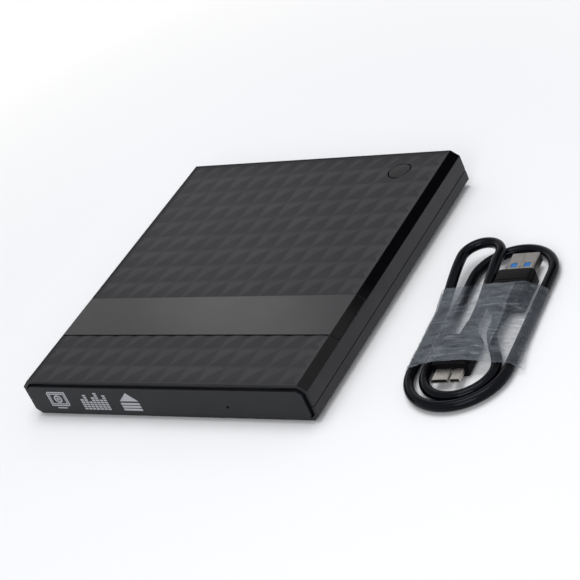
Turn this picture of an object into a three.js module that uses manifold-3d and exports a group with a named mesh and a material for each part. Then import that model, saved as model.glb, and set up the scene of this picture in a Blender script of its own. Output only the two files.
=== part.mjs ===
// A slim external disc drive: a flat shell with a pyramid-patterned lid, a tray that slides out on
// two rails, the disc and laser mechanism that the tray carries, and its loose data cable in a hank.
// Lengths are in millimetres, +Z is up, the front faces -Y.

import * as THREE from 'three';
import { mergeVertices } from 'three/addons/utils/BufferGeometryUtils.js';
import Module from 'manifold-3d';

const wasm = await Module();
wasm.setup();

// Shared clearances
const seatGap = 0.3;
const slideGap = 0.4;
const overrun = 1;

// Disc, and the deck's edges round it: the tray, the chassis and the shell follow from these outwards
const discRadius = 60;
const smallDiscRadius = 40;
const discClearance = 1;
const deckSideRim = 1.8;
const deckFrontRim = 1.8;
const deckRearRim = 1.1;
const deckThickness = 3;
const discRecessFloor = 1.2;
const smallDiscDrop = 0.5;
const fingerNotchRadius = 7.5;
const discHeadroom = 1.25;

// Shell: its wall, its edges and the room it leaves over and behind the chassis
const shellWall = 1.5;
const roofGap = 1.35;
const rearGap = 3.2;
const topChamferRun = 3.5;
const topChamferDrop = 3.1;
const bottomChamferRun = 2.6;
const bottomChamferRise = 2.4;
const partingHeight = 7.2;
const partingGap = 0.4;
const partingLipHeight = 1.4;
const partingLipWall = 0.6;

// Lid: pyramids, the smooth band across it and the fine groove behind its front rim
const pyramidColumns = 14;
const pyramidRowPitch = 11.02;
const pyramidHeight = 0.6;
const pyramidSink = 0.2;
const rimDepth = 0.8;
const rimGrooveWidth = 0.5;
const rimGrooveDepth = 0.9;
const fieldLand = 0.5;
const bandFront = 30;
const bandDepth = 25.2;
const bandThickness = 0.6;

// Eject button on the lid and the guide tube below it
const buttonInset = 23.3;
const buttonSetback = 13;
const buttonHoleRadius = 5.5;
const buttonRadius = 5.2;
const buttonThickness = 1.8;
const buttonRecess = 0.2;
const buttonEdge = 0.5;
const buttonStemRadius = 1.7;
const buttonTravel = 0.4;
const guideTubeWall = 1.2;
const guideTubeDrop = 3.2;

// Feet, and the screws that hold the two halves of the shell together
const footRadius = 4.5;
const footStandOut = 0.8;
const footRecess = 0.8;
const footInset = 15.5;
const footFrontY = 12;
const footSetback = 12.5;
const screwFrontY = 30;
const screwSetback = 6.3;
const screwHeadRadius = 1.9;
const screwHeadHeight = 1.1;
const screwHeadRecess = 1.3;
const screwShankRadius = 0.9;
const screwLength = 9;
const screwBossRadius = 2.6;
const screwBossGap = 0.6;

// Drive chassis inside the shell
const bezelGap = 0.85;
const bezelProud = 1.15;
const bezelThickness = 2.45;
const bezelEdge = 0.35;
const pinholeRadius = 0.55;
const pinholeReach = 20.6;
const pinholeLift = 1.8;
const chassisSheet = 0.8;
const coverSheet = 0.6;
const coverFlange = 6;
const coverDishSetback = 5;
const coverDishRise = 0.4;
const floorRibWidth = 1.2;
const floorRibSpacing = 44;
const sideRibDepth = 8;

// Rails and their guides, on both sides of the tray
const guideBottom = 1;
const guideWeb = 0.8;
const guideLip = 0.9;
const guideLipReach = 2.5;
const railSheet = 0.6;
const railFlange = 0.5;
const railReach = 2.6;
const railSetback = 5.4;
const railFront = 5;

// Tray: a deck with the disc's recess, on skirts that run in the rails
const trayClear = 1.05;
const trayRearGap = 0.9;
const mechanismDepth = 6;
const skirtThickness = 1.6;
const tongueHeight = 1.6;
const trayWall = 1.4;
const crossWallSetback = 11.3;
const bottomSheet = 0.5;

// Traverse: the frame under the deck's window that carries the disc motor and the laser sled.
// Along runs from the disc's centre outwards and across runs over the two guide rods.
const traverseAngle = THREE.MathUtils.degToRad(42);
const traverseInner = 15;
const traverseHalfWidth = 16;
const traverseCornerGap = 1.25;
const traverseSheet = 0.5;
const windowInner = 17;
const windowSetback = 14;
const windowHalfWidth = 17;
const windowCorner = 6;
const slotHalfWidth = 9;
const slotSetback = 1;
const deckCoverSheet = 0.6;
const deckCoverDrop = 0.2;

// Disc motor and turntable
const motorBaseRadius = 11.6;
const motorBaseSheet = 0.4;
const motorSleeveRadius = 3;
const rotorRadius = 11.3;
const rotorWall = 0.6;
const rotorHeight = 3.1;
const turntableRadius = 15;
const turntableThickness = 0.6;
const turntableRise = 0.6;
const turntableBossRadius = 6;
const padRadius = 14.6;
const padWidth = 2.6;
const padThickness = 0.4;
const hubRadius = 7.3;
const hubHeight = 1.7;
const hubEdge = 0.6;
const hubBoreRadius = 1.6;
const clawCount = 3;
const clawWidth = 2.2;
const clawReach = 0.35;
const clawHeight = 0.7;

// Laser sled, guide rods, lead screw and its motor
const lensInner = 24;
const lensOuterSetback = 8;
const sledBack = 11;
const sledFront = 6.3;
const sledLeft = 11;
const sledRight = 8.8;
const sledClear = 0.5;
const sledHeadroom = 0.4;
const rodRadius = 1.25;
const mainRodAcross = 11.2;
const sideRodAcross = -13.4;
const rodLift = 2.3;
const rodClearance = 0.3;
const eyeWall = 0.5;
const eyeLength = 4.2;
const holderLength = 3.8;
const holderHalfWidth = 2.2;
const screwThreadRadius = 0.9;
const leadScrewAcross = 14.6;
const stepperRadius = 2.1;
const stepperLength = 9.6;
const stepperFront = 6;
const followerSheet = 0.7;
const followerHalfLength = 3;

// Lens actuator on the sled
const actuatorHalfAlong = 5;
const actuatorHalfAcross = 7;
const actuatorHeight = 1;
const actuatorOpeningAlong = 3.4;
const actuatorOpeningAcross = 4.4;
const lensPocketDepth = 1.4;
const holderHalfAlong = 2.8;
const holderHalfAcross = 3.8;
const holderHeight = 1;
const lensRadius = 2;
const lensDome = 0.6;

// Lock lever at the front right of the tray, its pivot, its post and its solenoid
const leverInset = 4.9;
const leverSetback = 3.5;
const leverPivotRadius = 1;
const leverHubRadius = 2.1;
const leverThickness = 1;
const leverArmWidth = 2;
const leverArmLength = 11;
const leverNoseReach = 4.6;
const leverNoseWidth = 1.5;
const leverTabHeight = 2.8;
const leverRelease = THREE.MathUtils.degToRad(18);
const postInset = 2.9;
const postSetback = 7.7;
const postRadius = 1;
const postHeight = 3;
const laneHalfWidth = 1.6;
const laneLead = 3.6;
const solenoidInset = 4.5;
const solenoidSetback = 11.1;
const solenoidLength = 11;
const solenoidWidth = 7.6;
const solenoidHeight = 4.4;

// Circuit boards, connectors and the eject spring behind the tray
const mainBoardSheet = 1;
const mainBoardInset = 11.3;
const mainBoardLaneGap = 1.4;
const mainBoardGap = 3.6;
const mainBoardArmSetback = 6.8;
const mainBoardRearGap = 1.2;
const chipSize = 14;
const chipHeight = 1.2;
const chipX = 12;
const rearBoardInset = 11.2;
const rearBoardWidth = 38;
const rearBoardDepth = 9.4;
const rearBoardSheet = 1;
const plugInset = 2;
const plugDepth = 8.2;
const plugHeight = 4.2;
const ribbonWidth = 20;
const ribbonInset = 8;
const ribbonSheet = 0.3;
const ribbonLength = 57.4;
const ejectRodInset = 33.2;
const ejectRodLift = 2.8;
const ejectRodRadius = 0.9;
const ejectCollarRadius = 1.9;
const ejectCollarWidth = 1;
const ejectSpringRadius = 1.8;
const ejectSpringWall = 0.5;
const ejectHousingWidth = 6;
const bridgeBoardInset = 13.5;
const bridgeBoardDepth = 19;
const bridgeBoardSheet = 1.2;
const bridgeStandHeight = 2.4;
const bridgeStandRadius = 2;
const bridgeStandInset = 7;
const socketWidth = 12.2;
const socketHeight = 2.9;
const socketDepth = 7.4;
const socketWall = 0.3;
const socketInset = 37.5;
const socketTongue = 0.7;
const socketOpeningMargin = 0.5;
const sataDepth = 4.6;
const switchSize = 6;
const switchHeight = 3.4;
const switchPlungerRadius = 1.6;
const switchPlungerHeight = 1.1;
const capacitorRadius = 3;
const capacitorHeight = 7;
const capacitorX = 8;

// Cable hank: its cable, the lines of its five runs, its arches and where it lies
const cableDiameter = 4.4;
const cableSides = 6;
const cableLift = 0.55;
const archSteps = 9;
const runSteps = 3;
const climbSteps = 6;
const hankX = 120.4;
const hankY = 55.7;
const hankTurn = THREE.MathUtils.degToRad(4);
const leftRun = -20.5;
const rightRun = 20.3;
const innerLeftRun = -14;
const innerRightRun = 15;
const upperRun = -3.5;
const leftArchY = 37.8;
const rightArchY = 29.2;
const outerArchY = -27.9;
const innerArchY = -28.4;
const crossingGap = 0.6;
const descentLength = 34;

// Plugs on the cable and the film sleeve around the hank
const reliefLength = 8;
const reliefRadius = 3.2;
const reliefTip = 2.6;
const plugAWidth = 16;
const plugAHeight = 8;
const plugALength = 20;
const plugACorner = 1.6;
const plugAX = 7.5;
const plugATip = 38.5;
const shellAWidth = 12;
const shellAHeight = 4.5;
const shellALength = 11.8;
const shellAWall = 0.35;
const windowASize = 2.3;
const windowAOffset = 2.9;
const windowASetback = 6.4;
const insertAHeight = 1.9;
const plugBWidth = 15;
const plugBHeight = 7;
const plugBLength = 18.8;
const plugBCorner = 1.4;
const plugBX = -3;
const plugBTip = -35.3;
const shellBHeight = 1.8;
const shellBLength = 6;
const shellBLeftWidth = 6.9;
const shellBRightWidth = 4.2;
const shellBNotch = 0.9;
const shellBRoot = 1.4;
const sleeveFront = -28;
const sleeveRear = 17.5;
const sleeveFilm = 0.25;
const sleeveStations = 8;
const sleeveDirections = 24;

const roundSides = 24;
const bigRoundSides = 72;
const curveSteps = 6;

// Finishes
function finish(color, roughness, metalness) {
  return new THREE.MeshStandardMaterial({ color, roughness, metalness });
}
const lidPlastic = finish(0x505052, 0.45, 0);
const shellPlastic = finish(0x393a3f, 0.5, 0);
const bandPlastic = finish(0x58585a, 0.35, 0);
const bezelPlastic = finish(0x35363a, 0.45, 0);
const trayPlastic = finish(0x1c1c1e, 0.6, 0);
const pressedSteel = finish(0xa9acb0, 0.4, 1);
const brightSteel = finish(0xc8cacd, 0.25, 1);
const blackSteel = finish(0x26272a, 0.5, 0.6);
const castZinc = finish(0x8f9296, 0.5, 0.9);
const footRubber = finish(0x17171a, 0.85, 0);
const boardLaminate = finish(0x1f5b3a, 0.55, 0);
const chipResin = finish(0x1a1b1d, 0.5, 0);
const blackResin = finish(0x131315, 0.5, 0);
const paleResin = finish(0xd8d3c4, 0.5, 0);
const copperBrown = finish(0x9a5a2c, 0.5, 0.4);
const lensGlass = finish(0x6f7fb0, 0.1, 0);
const cableJacket = finish(0x121214, 0.55, 0);
const blueResin = finish(0x2a8fd8, 0.45, 0);
const sleeveClear = finish(0xd9dde2, 0.3, 0);

// Turn a closed three.js geometry into a solid that can be cut, and back
function solid(geometry) {
  geometry.deleteAttribute('normal');
  geometry.deleteAttribute('uv');
  const merged = mergeVertices(geometry);
  return new wasm.Manifold(new wasm.Mesh({
    numProp: 3,
    vertProperties: new Float32Array(merged.attributes.position.array),
    triVerts: new Uint32Array(merged.index.array),
  }));
}

function geometryOf(body) {
  const mesh = body.getMesh();
  const geometry = new THREE.BufferGeometry();
  geometry.setAttribute('position', new THREE.BufferAttribute(new Float32Array(mesh.vertProperties), 3));
  geometry.setIndex(new THREE.BufferAttribute(new Uint32Array(mesh.triVerts), 1));
  return geometry;
}

function join(bodies) {
  return bodies.reduce((all, next) => all.add(next));
}

function cut(body, tools) {
  return tools.reduce((left, tool) => left.subtract(tool), body);
}

// Basic forms: a block between limits, round bars along each axis, and outlines pushed along an axis
function block(x0, x1, y0, y1, z0, z1) {
  const box = new THREE.BoxGeometry(x1 - x0, y1 - y0, z1 - z0);
  return solid(box.translate((x0 + x1) / 2, (y0 + y1) / 2, (z0 + z1) / 2));
}

function upright(radius, x, y, z0, z1, sides = roundSides) {
  const bar = new THREE.CylinderGeometry(radius, radius, z1 - z0, sides);
  return solid(bar.rotateX(Math.PI / 2).translate(x, y, (z0 + z1) / 2));
}

function barAlongY(radius, x, z, y0, y1, sides = roundSides) {
  const bar = new THREE.CylinderGeometry(radius, radius, y1 - y0, sides);
  return solid(bar.translate(x, (y0 + y1) / 2, z));
}

function barAlongX(radius, y, z, x0, x1, sides = roundSides) {
  const bar = new THREE.CylinderGeometry(radius, radius, x1 - x0, sides);
  return solid(bar.rotateZ(Math.PI / 2).translate((x0 + x1) / 2, y, z));
}

function outline(points) {
  return new THREE.Shape(points.map(([u, v]) => new THREE.Vector2(u, v)));
}

function roundedOutline(u0, u1, v0, v1, corner) {
  const shape = new THREE.Shape();
  shape.absarc(u1 - corner, v0 + corner, corner, -Math.PI / 2, 0);
  shape.absarc(u1 - corner, v1 - corner, corner, 0, Math.PI / 2);
  shape.absarc(u0 + corner, v1 - corner, corner, Math.PI / 2, Math.PI);
  shape.absarc(u0 + corner, v0 + corner, corner, Math.PI, 1.5 * Math.PI);
  return shape;
}

function pushed(shape, depth) {
  return new THREE.ExtrudeGeometry(shape, { depth, bevelEnabled: false, curveSegments: curveSteps });
}

function plate(shape, z0, z1) {
  return solid(pushed(shape, z1 - z0).translate(0, 0, z0));
}

function prismAlongY(shape, y0, y1) {
  return solid(pushed(shape, y1 - y0).rotateX(Math.PI / 2).translate(0, y1, 0));
}

function turned(profile, sides = roundSides) {
  const points = profile.map(([radius, height]) => new THREE.Vector2(radius, height));
  return solid(new THREE.LatheGeometry(points, sides).rotateX(Math.PI / 2));
}

// Move each side of a convex outline, given counter-clockwise, inwards by the same amount
function insetOutline(points, amount) {
  const lines = points.map((start, i) => {
    const end = points[(i + 1) % points.length];
    const run = Math.hypot(end[0] - start[0], end[1] - start[1]);
    const along = [(end[0] - start[0]) / run, (end[1] - start[1]) / run];
    return { at: [start[0] - along[1] * amount, start[1] + along[0] * amount], along };
  });
  return lines.map((line, i) => {
    const before = lines[(i + lines.length - 1) % lines.length];
    const cross = before.along[0] * line.along[1] - before.along[1] * line.along[0];
    const gap = [line.at[0] - before.at[0], line.at[1] - before.at[1]];
    const reach = (gap[0] * line.along[1] - gap[1] * line.along[0]) / cross;
    return [before.at[0] + before.along[0] * reach, before.at[1] + before.along[1] * reach];
  });
}

function addPiece(group, name, body, material) {
  const mesh = new THREE.Mesh(body.isBufferGeometry ? body : geometryOf(body), material);
  mesh.name = name;
  group.add(mesh);
  return mesh;
}

// Sideways, from the disc out to the shell
const discRecessRadius = discRadius + discClearance;
const deckHalf = discRecessRadius + deckSideRim;
const chassisInside = deckHalf + slideGap;
const chassisHalf = chassisInside + chassisSheet;
const coverHalf = chassisHalf + seatGap + coverSheet;
const screwX = coverHalf + screwBossGap + screwBossRadius;
const innerHalfWidth = screwX + screwBossRadius + seatGap;
const halfWidth = innerHalfWidth + shellWall;
const lidHalfWidth = halfWidth - topChamferRun;

// Backwards, from the bezel to the shell's rear wall
const bezelBack = bezelThickness - bezelProud;
const chassisFront = bezelBack + slideGap;
const trayFront = bezelBack + seatGap;
const discCentreY = trayFront + deckFrontRim + discRecessRadius;
const trayRear = discCentreY + discRecessRadius + deckRearRim;
const chassisBack = trayRear + trayRearGap;
const chassisRear = chassisBack + chassisSheet;
const bridgeFront = chassisRear + coverSheet + 2 * seatGap + slideGap;
const rearWallInside = bridgeFront + bridgeBoardDepth + rearGap;
const shellDepth = rearWallInside + shellWall;

// Upwards, from the floor of the shell to its roof
const chassisBottom = shellWall + bezelGap;
const chassisFloor = chassisBottom + chassisSheet;
const bottomSheetZ = chassisFloor + trayClear;
const bottomSheetTop = bottomSheetZ + bottomSheet;
const deckUnderside = bottomSheetZ + mechanismDepth;
const deckFloor = deckUnderside + discRecessFloor;
const deckTop = deckUnderside + deckThickness;
const coverUnderside = deckTop + discHeadroom;
const chassisTop = coverUnderside + coverSheet;
const roofUnderside = chassisTop + roofGap;
const shellHeight = roofUnderside + shellWall;

const product = new THREE.Group();
const drive = new THREE.Group();
drive.position.set(0, -(shellDepth - bezelProud) / 2, footStandOut);
product.add(drive);

// The shell's cross-section, which the wall, the band and the bezel all follow
const shellSection = [
  [-halfWidth + bottomChamferRun, 0],
  [halfWidth - bottomChamferRun, 0],
  [halfWidth, bottomChamferRise],
  [halfWidth, shellHeight - topChamferDrop],
  [halfWidth - topChamferRun, shellHeight],
  [-halfWidth + topChamferRun, shellHeight],
  [-halfWidth, shellHeight - topChamferDrop],
  [-halfWidth, bottomChamferRise],
];

function sectionPrism(inset, y0, y1) {
  return prismAlongY(outline(insetOutline(shellSection, inset)), y0, y1);
}

const footX = halfWidth - footInset;
const buttonX = halfWidth - buttonInset;
const buttonY = shellDepth - buttonSetback;
const bridgeBoardHalfWidth = halfWidth - bridgeBoardInset;
const bridgeBoardZ = shellWall + bridgeStandHeight + seatGap;
const bridgeTop = bridgeBoardZ + bridgeBoardSheet;
const socketX = -halfWidth + socketInset;
const socketBottom = bridgeTop + seatGap;
const socketTop = socketBottom + socketHeight;
const corners = [
  ['front_left', -1, footFrontY, screwFrontY],
  ['front_right', 1, footFrontY, screwFrontY],
  ['rear_left', -1, shellDepth - footSetback, shellDepth - screwSetback],
  ['rear_right', 1, shellDepth - footSetback, shellDepth - screwSetback],
];
const socketCut = block(
  socketX - socketWidth / 2 - socketOpeningMargin, socketX + socketWidth / 2 + socketOpeningMargin,
  rearWallInside - overrun, shellDepth + overrun,
  socketBottom - socketOpeningMargin, socketTop + socketOpeningMargin,
);
const shellTube = sectionPrism(0, 0, shellDepth).subtract(sectionPrism(shellWall, -overrun, rearWallInside));
const wide = halfWidth + overrun;
const lowerTop = partingHeight - partingGap / 2;
const upperBottom = partingHeight + partingGap / 2;
const belowParting = block(-wide, wide, -overrun, shellDepth + overrun, -overrun, lowerTop);
const aboveParting = block(-wide, wide, -overrun, shellDepth + overrun, upperBottom, shellHeight + overrun);

function bottomShell() {
  const lipTop = partingHeight + partingLipHeight;
  const lipOutside = shellWall - partingLipWall;
  const lip = sectionPrism(lipOutside, 0, shellDepth - lipOutside)
    .subtract(sectionPrism(shellWall, -overrun, rearWallInside))
    .intersect(block(-wide, wide, screwHeadRadius, shellDepth, lowerTop - overrun, lipTop));
  const added = [lip];
  const removed = [socketCut];
  for (const [, side, footY, screwY] of corners) {
    added.push(upright(screwBossRadius, side * screwX, screwY, shellWall - seatGap, lowerTop));
    removed.push(upright(footRadius + seatGap, side * footX, footY, -overrun, footRecess));
    removed.push(upright(screwShankRadius + seatGap, side * screwX, screwY, -overrun, lowerTop + overrun));
    const headTop = screwHeadRecess + seatGap;
    removed.push(upright(screwHeadRadius + seatGap, side * screwX, screwY, -overrun, headTop));
  }
  for (let y = floorRibSpacing / 2; y < chassisRear; y += floorRibSpacing) {
    const half = floorRibWidth / 2;
    added.push(block(
      -innerHalfWidth + bottomChamferRun, innerHalfWidth - bottomChamferRun,
      y - half, y + half, shellWall - seatGap, chassisBottom - seatGap,
    ));
    for (const side of [-1, 1]) {
      const inner = coverHalf + seatGap;
      const outer = innerHalfWidth + seatGap;
      added.push(block(
        Math.min(side * inner, side * outer), Math.max(side * inner, side * outer),
        y - sideRibDepth / 2, y + sideRibDepth / 2, shellWall + bezelGap, lowerTop,
      ));
    }
  }
  for (const side of [-1, 1]) {
    for (const y of [chassisRear + bridgeStandRadius + slideGap, rearWallInside - bridgeStandRadius / 2]) {
      added.push(upright(
        bridgeStandRadius, side * (bridgeBoardHalfWidth - bridgeStandInset), y,
        shellWall - seatGap, shellWall + bridgeStandHeight,
      ));
    }
  }
  return cut(join([shellTube.intersect(belowParting), ...added]), removed);
}

// The lid's field of low pyramids, cut off at the rim's groove, the band and the rear edge
const valley = shellHeight - pyramidHeight;
const bandRear = bandFront + bandDepth;
const fieldFront = rimDepth + rimGrooveWidth;

function pyramidField() {
  const spread = (pyramidHeight + pyramidSink) / pyramidHeight;
  const pitch = 2 * lidHalfWidth / pyramidColumns;
  const cells = [];
  for (let y0 = 0; y0 < shellDepth; y0 += pyramidRowPitch) {
    const underBand = y0 >= bandFront && y0 + pyramidRowPitch <= bandRear + slideGap;
    for (let column = 0; column < pyramidColumns && !underBand; column += 1) {
      const cone = new THREE.ConeGeometry(Math.SQRT1_2, 1, 4, 1).rotateY(Math.PI / 4).rotateX(Math.PI / 2);
      cone.scale(pitch * spread, pyramidRowPitch * spread, pyramidHeight + pyramidSink);
      cone.translate(
        -lidHalfWidth + (column + 1 / 2) * pitch, y0 + pyramidRowPitch / 2,
        shellHeight - (pyramidHeight + pyramidSink) / 2,
      );
      cells.push(solid(cone));
    }
  }
  const field = join(cells);
  const low = valley - pyramidSink;
  const front = block(
    -lidHalfWidth, lidHalfWidth, rimDepth + seatGap / 2, bandFront + seatGap, low, shellHeight,
  );
  const rear = block(-lidHalfWidth, lidHalfWidth, bandRear - seatGap, shellDepth, low, shellHeight);
  return field.intersect(front.add(rear));
}

const sideEdge = shellHeight - topChamferDrop;

function topShell() {
  const lipOutside = shellWall - partingLipWall;
  const lipTop = partingHeight + partingLipHeight + seatGap;
  const fieldHalf = lidHalfWidth - fieldLand;
  const fieldCut = block(
    -fieldHalf, fieldHalf, rimDepth, shellDepth + overrun, valley - pyramidSink / 2, shellHeight + overrun,
  );
  const grooveCut = block(
    -fieldHalf, fieldHalf, rimDepth, fieldFront, shellHeight - rimGrooveDepth, shellHeight + overrun,
  );
  const bandCut = sectionPrism(-overrun, bandFront, bandRear)
    .subtract(sectionPrism(bandThickness + seatGap, bandFront - overrun, bandRear + overrun))
    .intersect(block(-wide, wide, bandFront, bandRear, sideEdge, shellHeight + 2 * overrun));
  const lipCut = sectionPrism(lipOutside - seatGap, -overrun, shellDepth - lipOutside + seatGap)
    .intersect(block(-wide, wide, -overrun, shellDepth, upperBottom - overrun, lipTop));
  const bosses = corners.map(([, side, , screwY]) => (
    upright(screwBossRadius, side * screwX, screwY, lipTop, shellHeight)
  ));
  const threads = corners.map(([, side, , screwY]) => (
    upright(
      screwShankRadius + seatGap, side * screwX, screwY, upperBottom - overrun, screwHeadRecess + screwLength,
    )
  ));
  const tube = upright(
    buttonHoleRadius + guideTubeWall, buttonX, buttonY,
    roofUnderside - guideTubeDrop, roofUnderside + seatGap,
  );
  const hole = upright(buttonHoleRadius, buttonX, buttonY, 0, shellHeight + overrun);
  const plain = cut(shellTube.intersect(aboveParting), [fieldCut, lipCut, socketCut]);
  const lid = cut(plain.add(pyramidField()), [grooveCut, bandCut]);
  const inside = sectionPrism(shellWall / 2, 0, shellDepth - shellWall / 2);
  const bossed = join([lid, ...bosses.map((boss) => boss.intersect(inside)), tube]);
  return cut(bossed, [hole, ...threads]);
}

function smoothBand() {
  const front = bandFront + seatGap;
  const rear = bandRear - seatGap;
  return sectionPrism(0, front, rear)
    .subtract(sectionPrism(bandThickness, front - overrun, rear + overrun))
    .intersect(block(-wide, wide, front, rear, sideEdge + seatGap, shellHeight + overrun));
}

function ejectButton() {
  const top = shellHeight - buttonRecess;
  const stemEnd = socketBottom + switchHeight + switchPlungerHeight + seatGap + buttonTravel;
  const profile = [
    [0, stemEnd],
    [buttonStemRadius, stemEnd],
    [buttonStemRadius, top - buttonThickness],
    [buttonRadius, top - buttonThickness],
    [buttonRadius, top - buttonEdge],
    [buttonRadius - buttonEdge * 0.3, top - buttonEdge * 0.3],
    [buttonRadius - buttonEdge, top],
    [0, top],
  ];
  return turned(profile).translate([buttonX, buttonY, 0]);
}

function foot() {
  return turned([
    [0, -footStandOut],
    [footRadius - buttonEdge, -footStandOut],
    [footRadius, -footStandOut + buttonEdge],
    [footRadius, footRecess - seatGap],
    [0, footRecess - seatGap],
  ]);
}

function shellScrew() {
  const headBottom = screwHeadRecess - screwHeadHeight;
  return turned([
    [0, headBottom],
    [screwHeadRadius, headBottom],
    [screwHeadRadius, screwHeadRecess],
    [screwShankRadius, screwHeadRecess],
    [screwShankRadius, screwHeadRecess + screwLength - screwShankRadius],
    [0, screwHeadRecess + screwLength - seatGap],
  ], roundSides / 2);
}

addPiece(drive, 'bottom_shell', bottomShell(), shellPlastic);
addPiece(drive, 'top_shell', topShell(), lidPlastic);
addPiece(drive, 'smooth_band', smoothBand(), bandPlastic);
addPiece(drive, 'eject_button', ejectButton(), bandPlastic);
for (const [corner, side, footY, screwY] of corners) {
  addPiece(drive, `foot_${corner}`, foot(), footRubber).position.set(side * footX, footY, 0);
  addPiece(drive, `shell_screw_${corner}`, shellScrew(), blackSteel).position.set(side * screwX, screwY, 0);
}

// Chassis: a steel pan with the lock post on its floor, and a cover over it
const rearBoardLeft = -chassisInside + rearBoardInset;
const rearBoardRight = rearBoardLeft + rearBoardWidth;
const rearBoardZ = chassisFloor + seatGap;
const plugBottom = rearBoardZ + rearBoardSheet + seatGap;
const plugTop = plugBottom + plugHeight;
const crossWallY = trayRear - crossWallSetback;
const ejectRodX = chassisInside - ejectRodInset;
const ejectRodZ = bottomSheetZ + ejectRodLift;

// Sideways again, from the chassis into the rails and the tray's skirts, then to the lock and its pinhole
const guideOut = chassisInside - seatGap;
const guideZ = chassisFloor + guideBottom;
const guideTop = deckUnderside - slideGap;
const railOut = guideOut - guideWeb - seatGap;
const railBottom = guideZ + guideLip + seatGap;
const railTop = guideTop - guideLip - seatGap;
const railIn = railOut - railReach;
const skirtOut = railIn - seatGap;
const skirtIn = skirtOut - skirtThickness;
const tongueOut = railOut - railSheet - seatGap;
const tongueZ = (railBottom + railTop) / 2;
const leverPivotX = skirtIn - leverInset;
const leverPivotY = trayFront + trayWall + leverSetback;
const leverBottom = bottomSheetTop + seatGap;
const leverTop = leverBottom + leverThickness;
const postX = leverPivotX - postInset;
const postY = leverPivotY + postSetback;
const laneFront = postY - laneLead;
const pinholeX = leverPivotX - pinholeReach;
const pinholeZ = leverBottom + pinholeLift;

function chassisBase() {
  const wallTop = coverUnderside - seatGap;
  const pan = block(-chassisHalf, chassisHalf, chassisFront, chassisRear, chassisBottom, wallTop)
    .subtract(block(-chassisInside, chassisInside, -overrun, chassisBack, chassisFloor, chassisTop));
  const plugCut = block(
    rearBoardLeft + plugInset - slideGap, rearBoardRight - plugInset + slideGap,
    chassisBack - overrun, chassisRear + overrun, plugBottom - seatGap, plugTop + seatGap,
  );
  const post = upright(postRadius, postX, postY, chassisFloor - chassisSheet / 2, chassisFloor + postHeight);
  const housing = block(
    ejectRodX - ejectHousingWidth / 2, ejectRodX + ejectHousingWidth / 2,
    crossWallY + trayWall + seatGap + ejectCollarWidth, chassisBack + chassisSheet / 2,
    chassisFloor - chassisSheet / 2, ejectRodZ + ejectCollarRadius + seatGap + chassisSheet,
  );
  const bore = barAlongY(
    ejectCollarRadius + seatGap, ejectRodX, ejectRodZ, crossWallY, chassisBack - chassisSheet,
  );
  return join([pan.subtract(plugCut), post, housing]).subtract(bore);
}

function chassisCover() {
  const inner = coverHalf - coverSheet;
  const low = chassisTop - coverFlange;
  const rear = chassisRear + seatGap + coverSheet;
  const dish = discRecessRadius - coverDishSetback;
  const dishTop = chassisTop + coverDishRise;
  return block(-coverHalf, coverHalf, chassisFront, rear, low, chassisTop)
    .subtract(block(-inner, inner, -overrun, rear - coverSheet, -overrun, coverUnderside))
    .subtract(block(-inner, inner, 0, rear + overrun, -overrun, plugTop + slideGap))
    .add(upright(dish, 0, discCentreY, coverUnderside, dishTop, bigRoundSides))
    .subtract(upright(dish - coverSheet, 0, discCentreY, low, dishTop - coverSheet, bigRoundSides));
}

addPiece(drive, 'chassis_base', chassisBase(), pressedSteel);
addPiece(drive, 'chassis_cover', chassisCover(), pressedSteel);

// Rails: a steel channel in a plastic guide on each side, and the tray's tongue runs in it
function channel(side, out, reach, web, lip, z0, z1, y0, y1) {
  const inner = out - reach;
  const points = [
    [inner, z0], [out, z0], [out, z1], [inner, z1],
    [inner, z1 - lip], [out - web, z1 - lip], [out - web, z0 + lip], [inner, z0 + lip],
  ];
  return prismAlongY(outline(points.map(([x, z]) => [side * x, z])), y0, y1);
}

for (const [name, side] of [['left', -1], ['right', 1]]) {
  const guide = channel(
    side, guideOut, guideLipReach, guideWeb, guideLip, guideZ, guideTop,
    chassisFront + seatGap, chassisBack - seatGap,
  );
  const rail = channel(
    side, railOut, railReach, railSheet, railFlange, railBottom, railTop,
    railFront, chassisBack - railSetback,
  );
  addPiece(drive, `rail_guide_${name}`, guide, paleResin);
  addPiece(drive, `rail_${name}`, rail, brightSteel);
}

// The traverse group's frame: its own X runs from the disc's centre out to the front left
const traverseOuter = (skirtIn - traverseCornerGap - traverseHalfWidth * Math.cos(traverseAngle))
  / Math.sin(traverseAngle);
const windowOuter = traverseOuter - windowSetback;
const slotOuter = traverseOuter - slotSetback;
const lensOuter = traverseOuter - lensOuterSetback;
const traverse = new THREE.Group();
traverse.position.set(0, discCentreY, 0);
traverse.rotation.z = -(Math.PI / 2 + traverseAngle);
drive.add(traverse);

function placedInTray(body) {
  return body.rotate([0, 0, THREE.MathUtils.radToDeg(traverse.rotation.z)]).translate([0, discCentreY, 0]);
}

function windowOutlineBody(inset, z0, z1) {
  const wide = roundedOutline(
    -windowInner + inset, windowOuter - inset,
    -windowHalfWidth + inset, windowHalfWidth - inset, windowCorner,
  );
  const narrow = roundedOutline(
    0, slotOuter - inset, -slotHalfWidth + inset, slotHalfWidth - inset, windowCorner / 2,
  );
  return plate(wide, z0, z1).add(plate(narrow, z0, z1));
}

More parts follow.
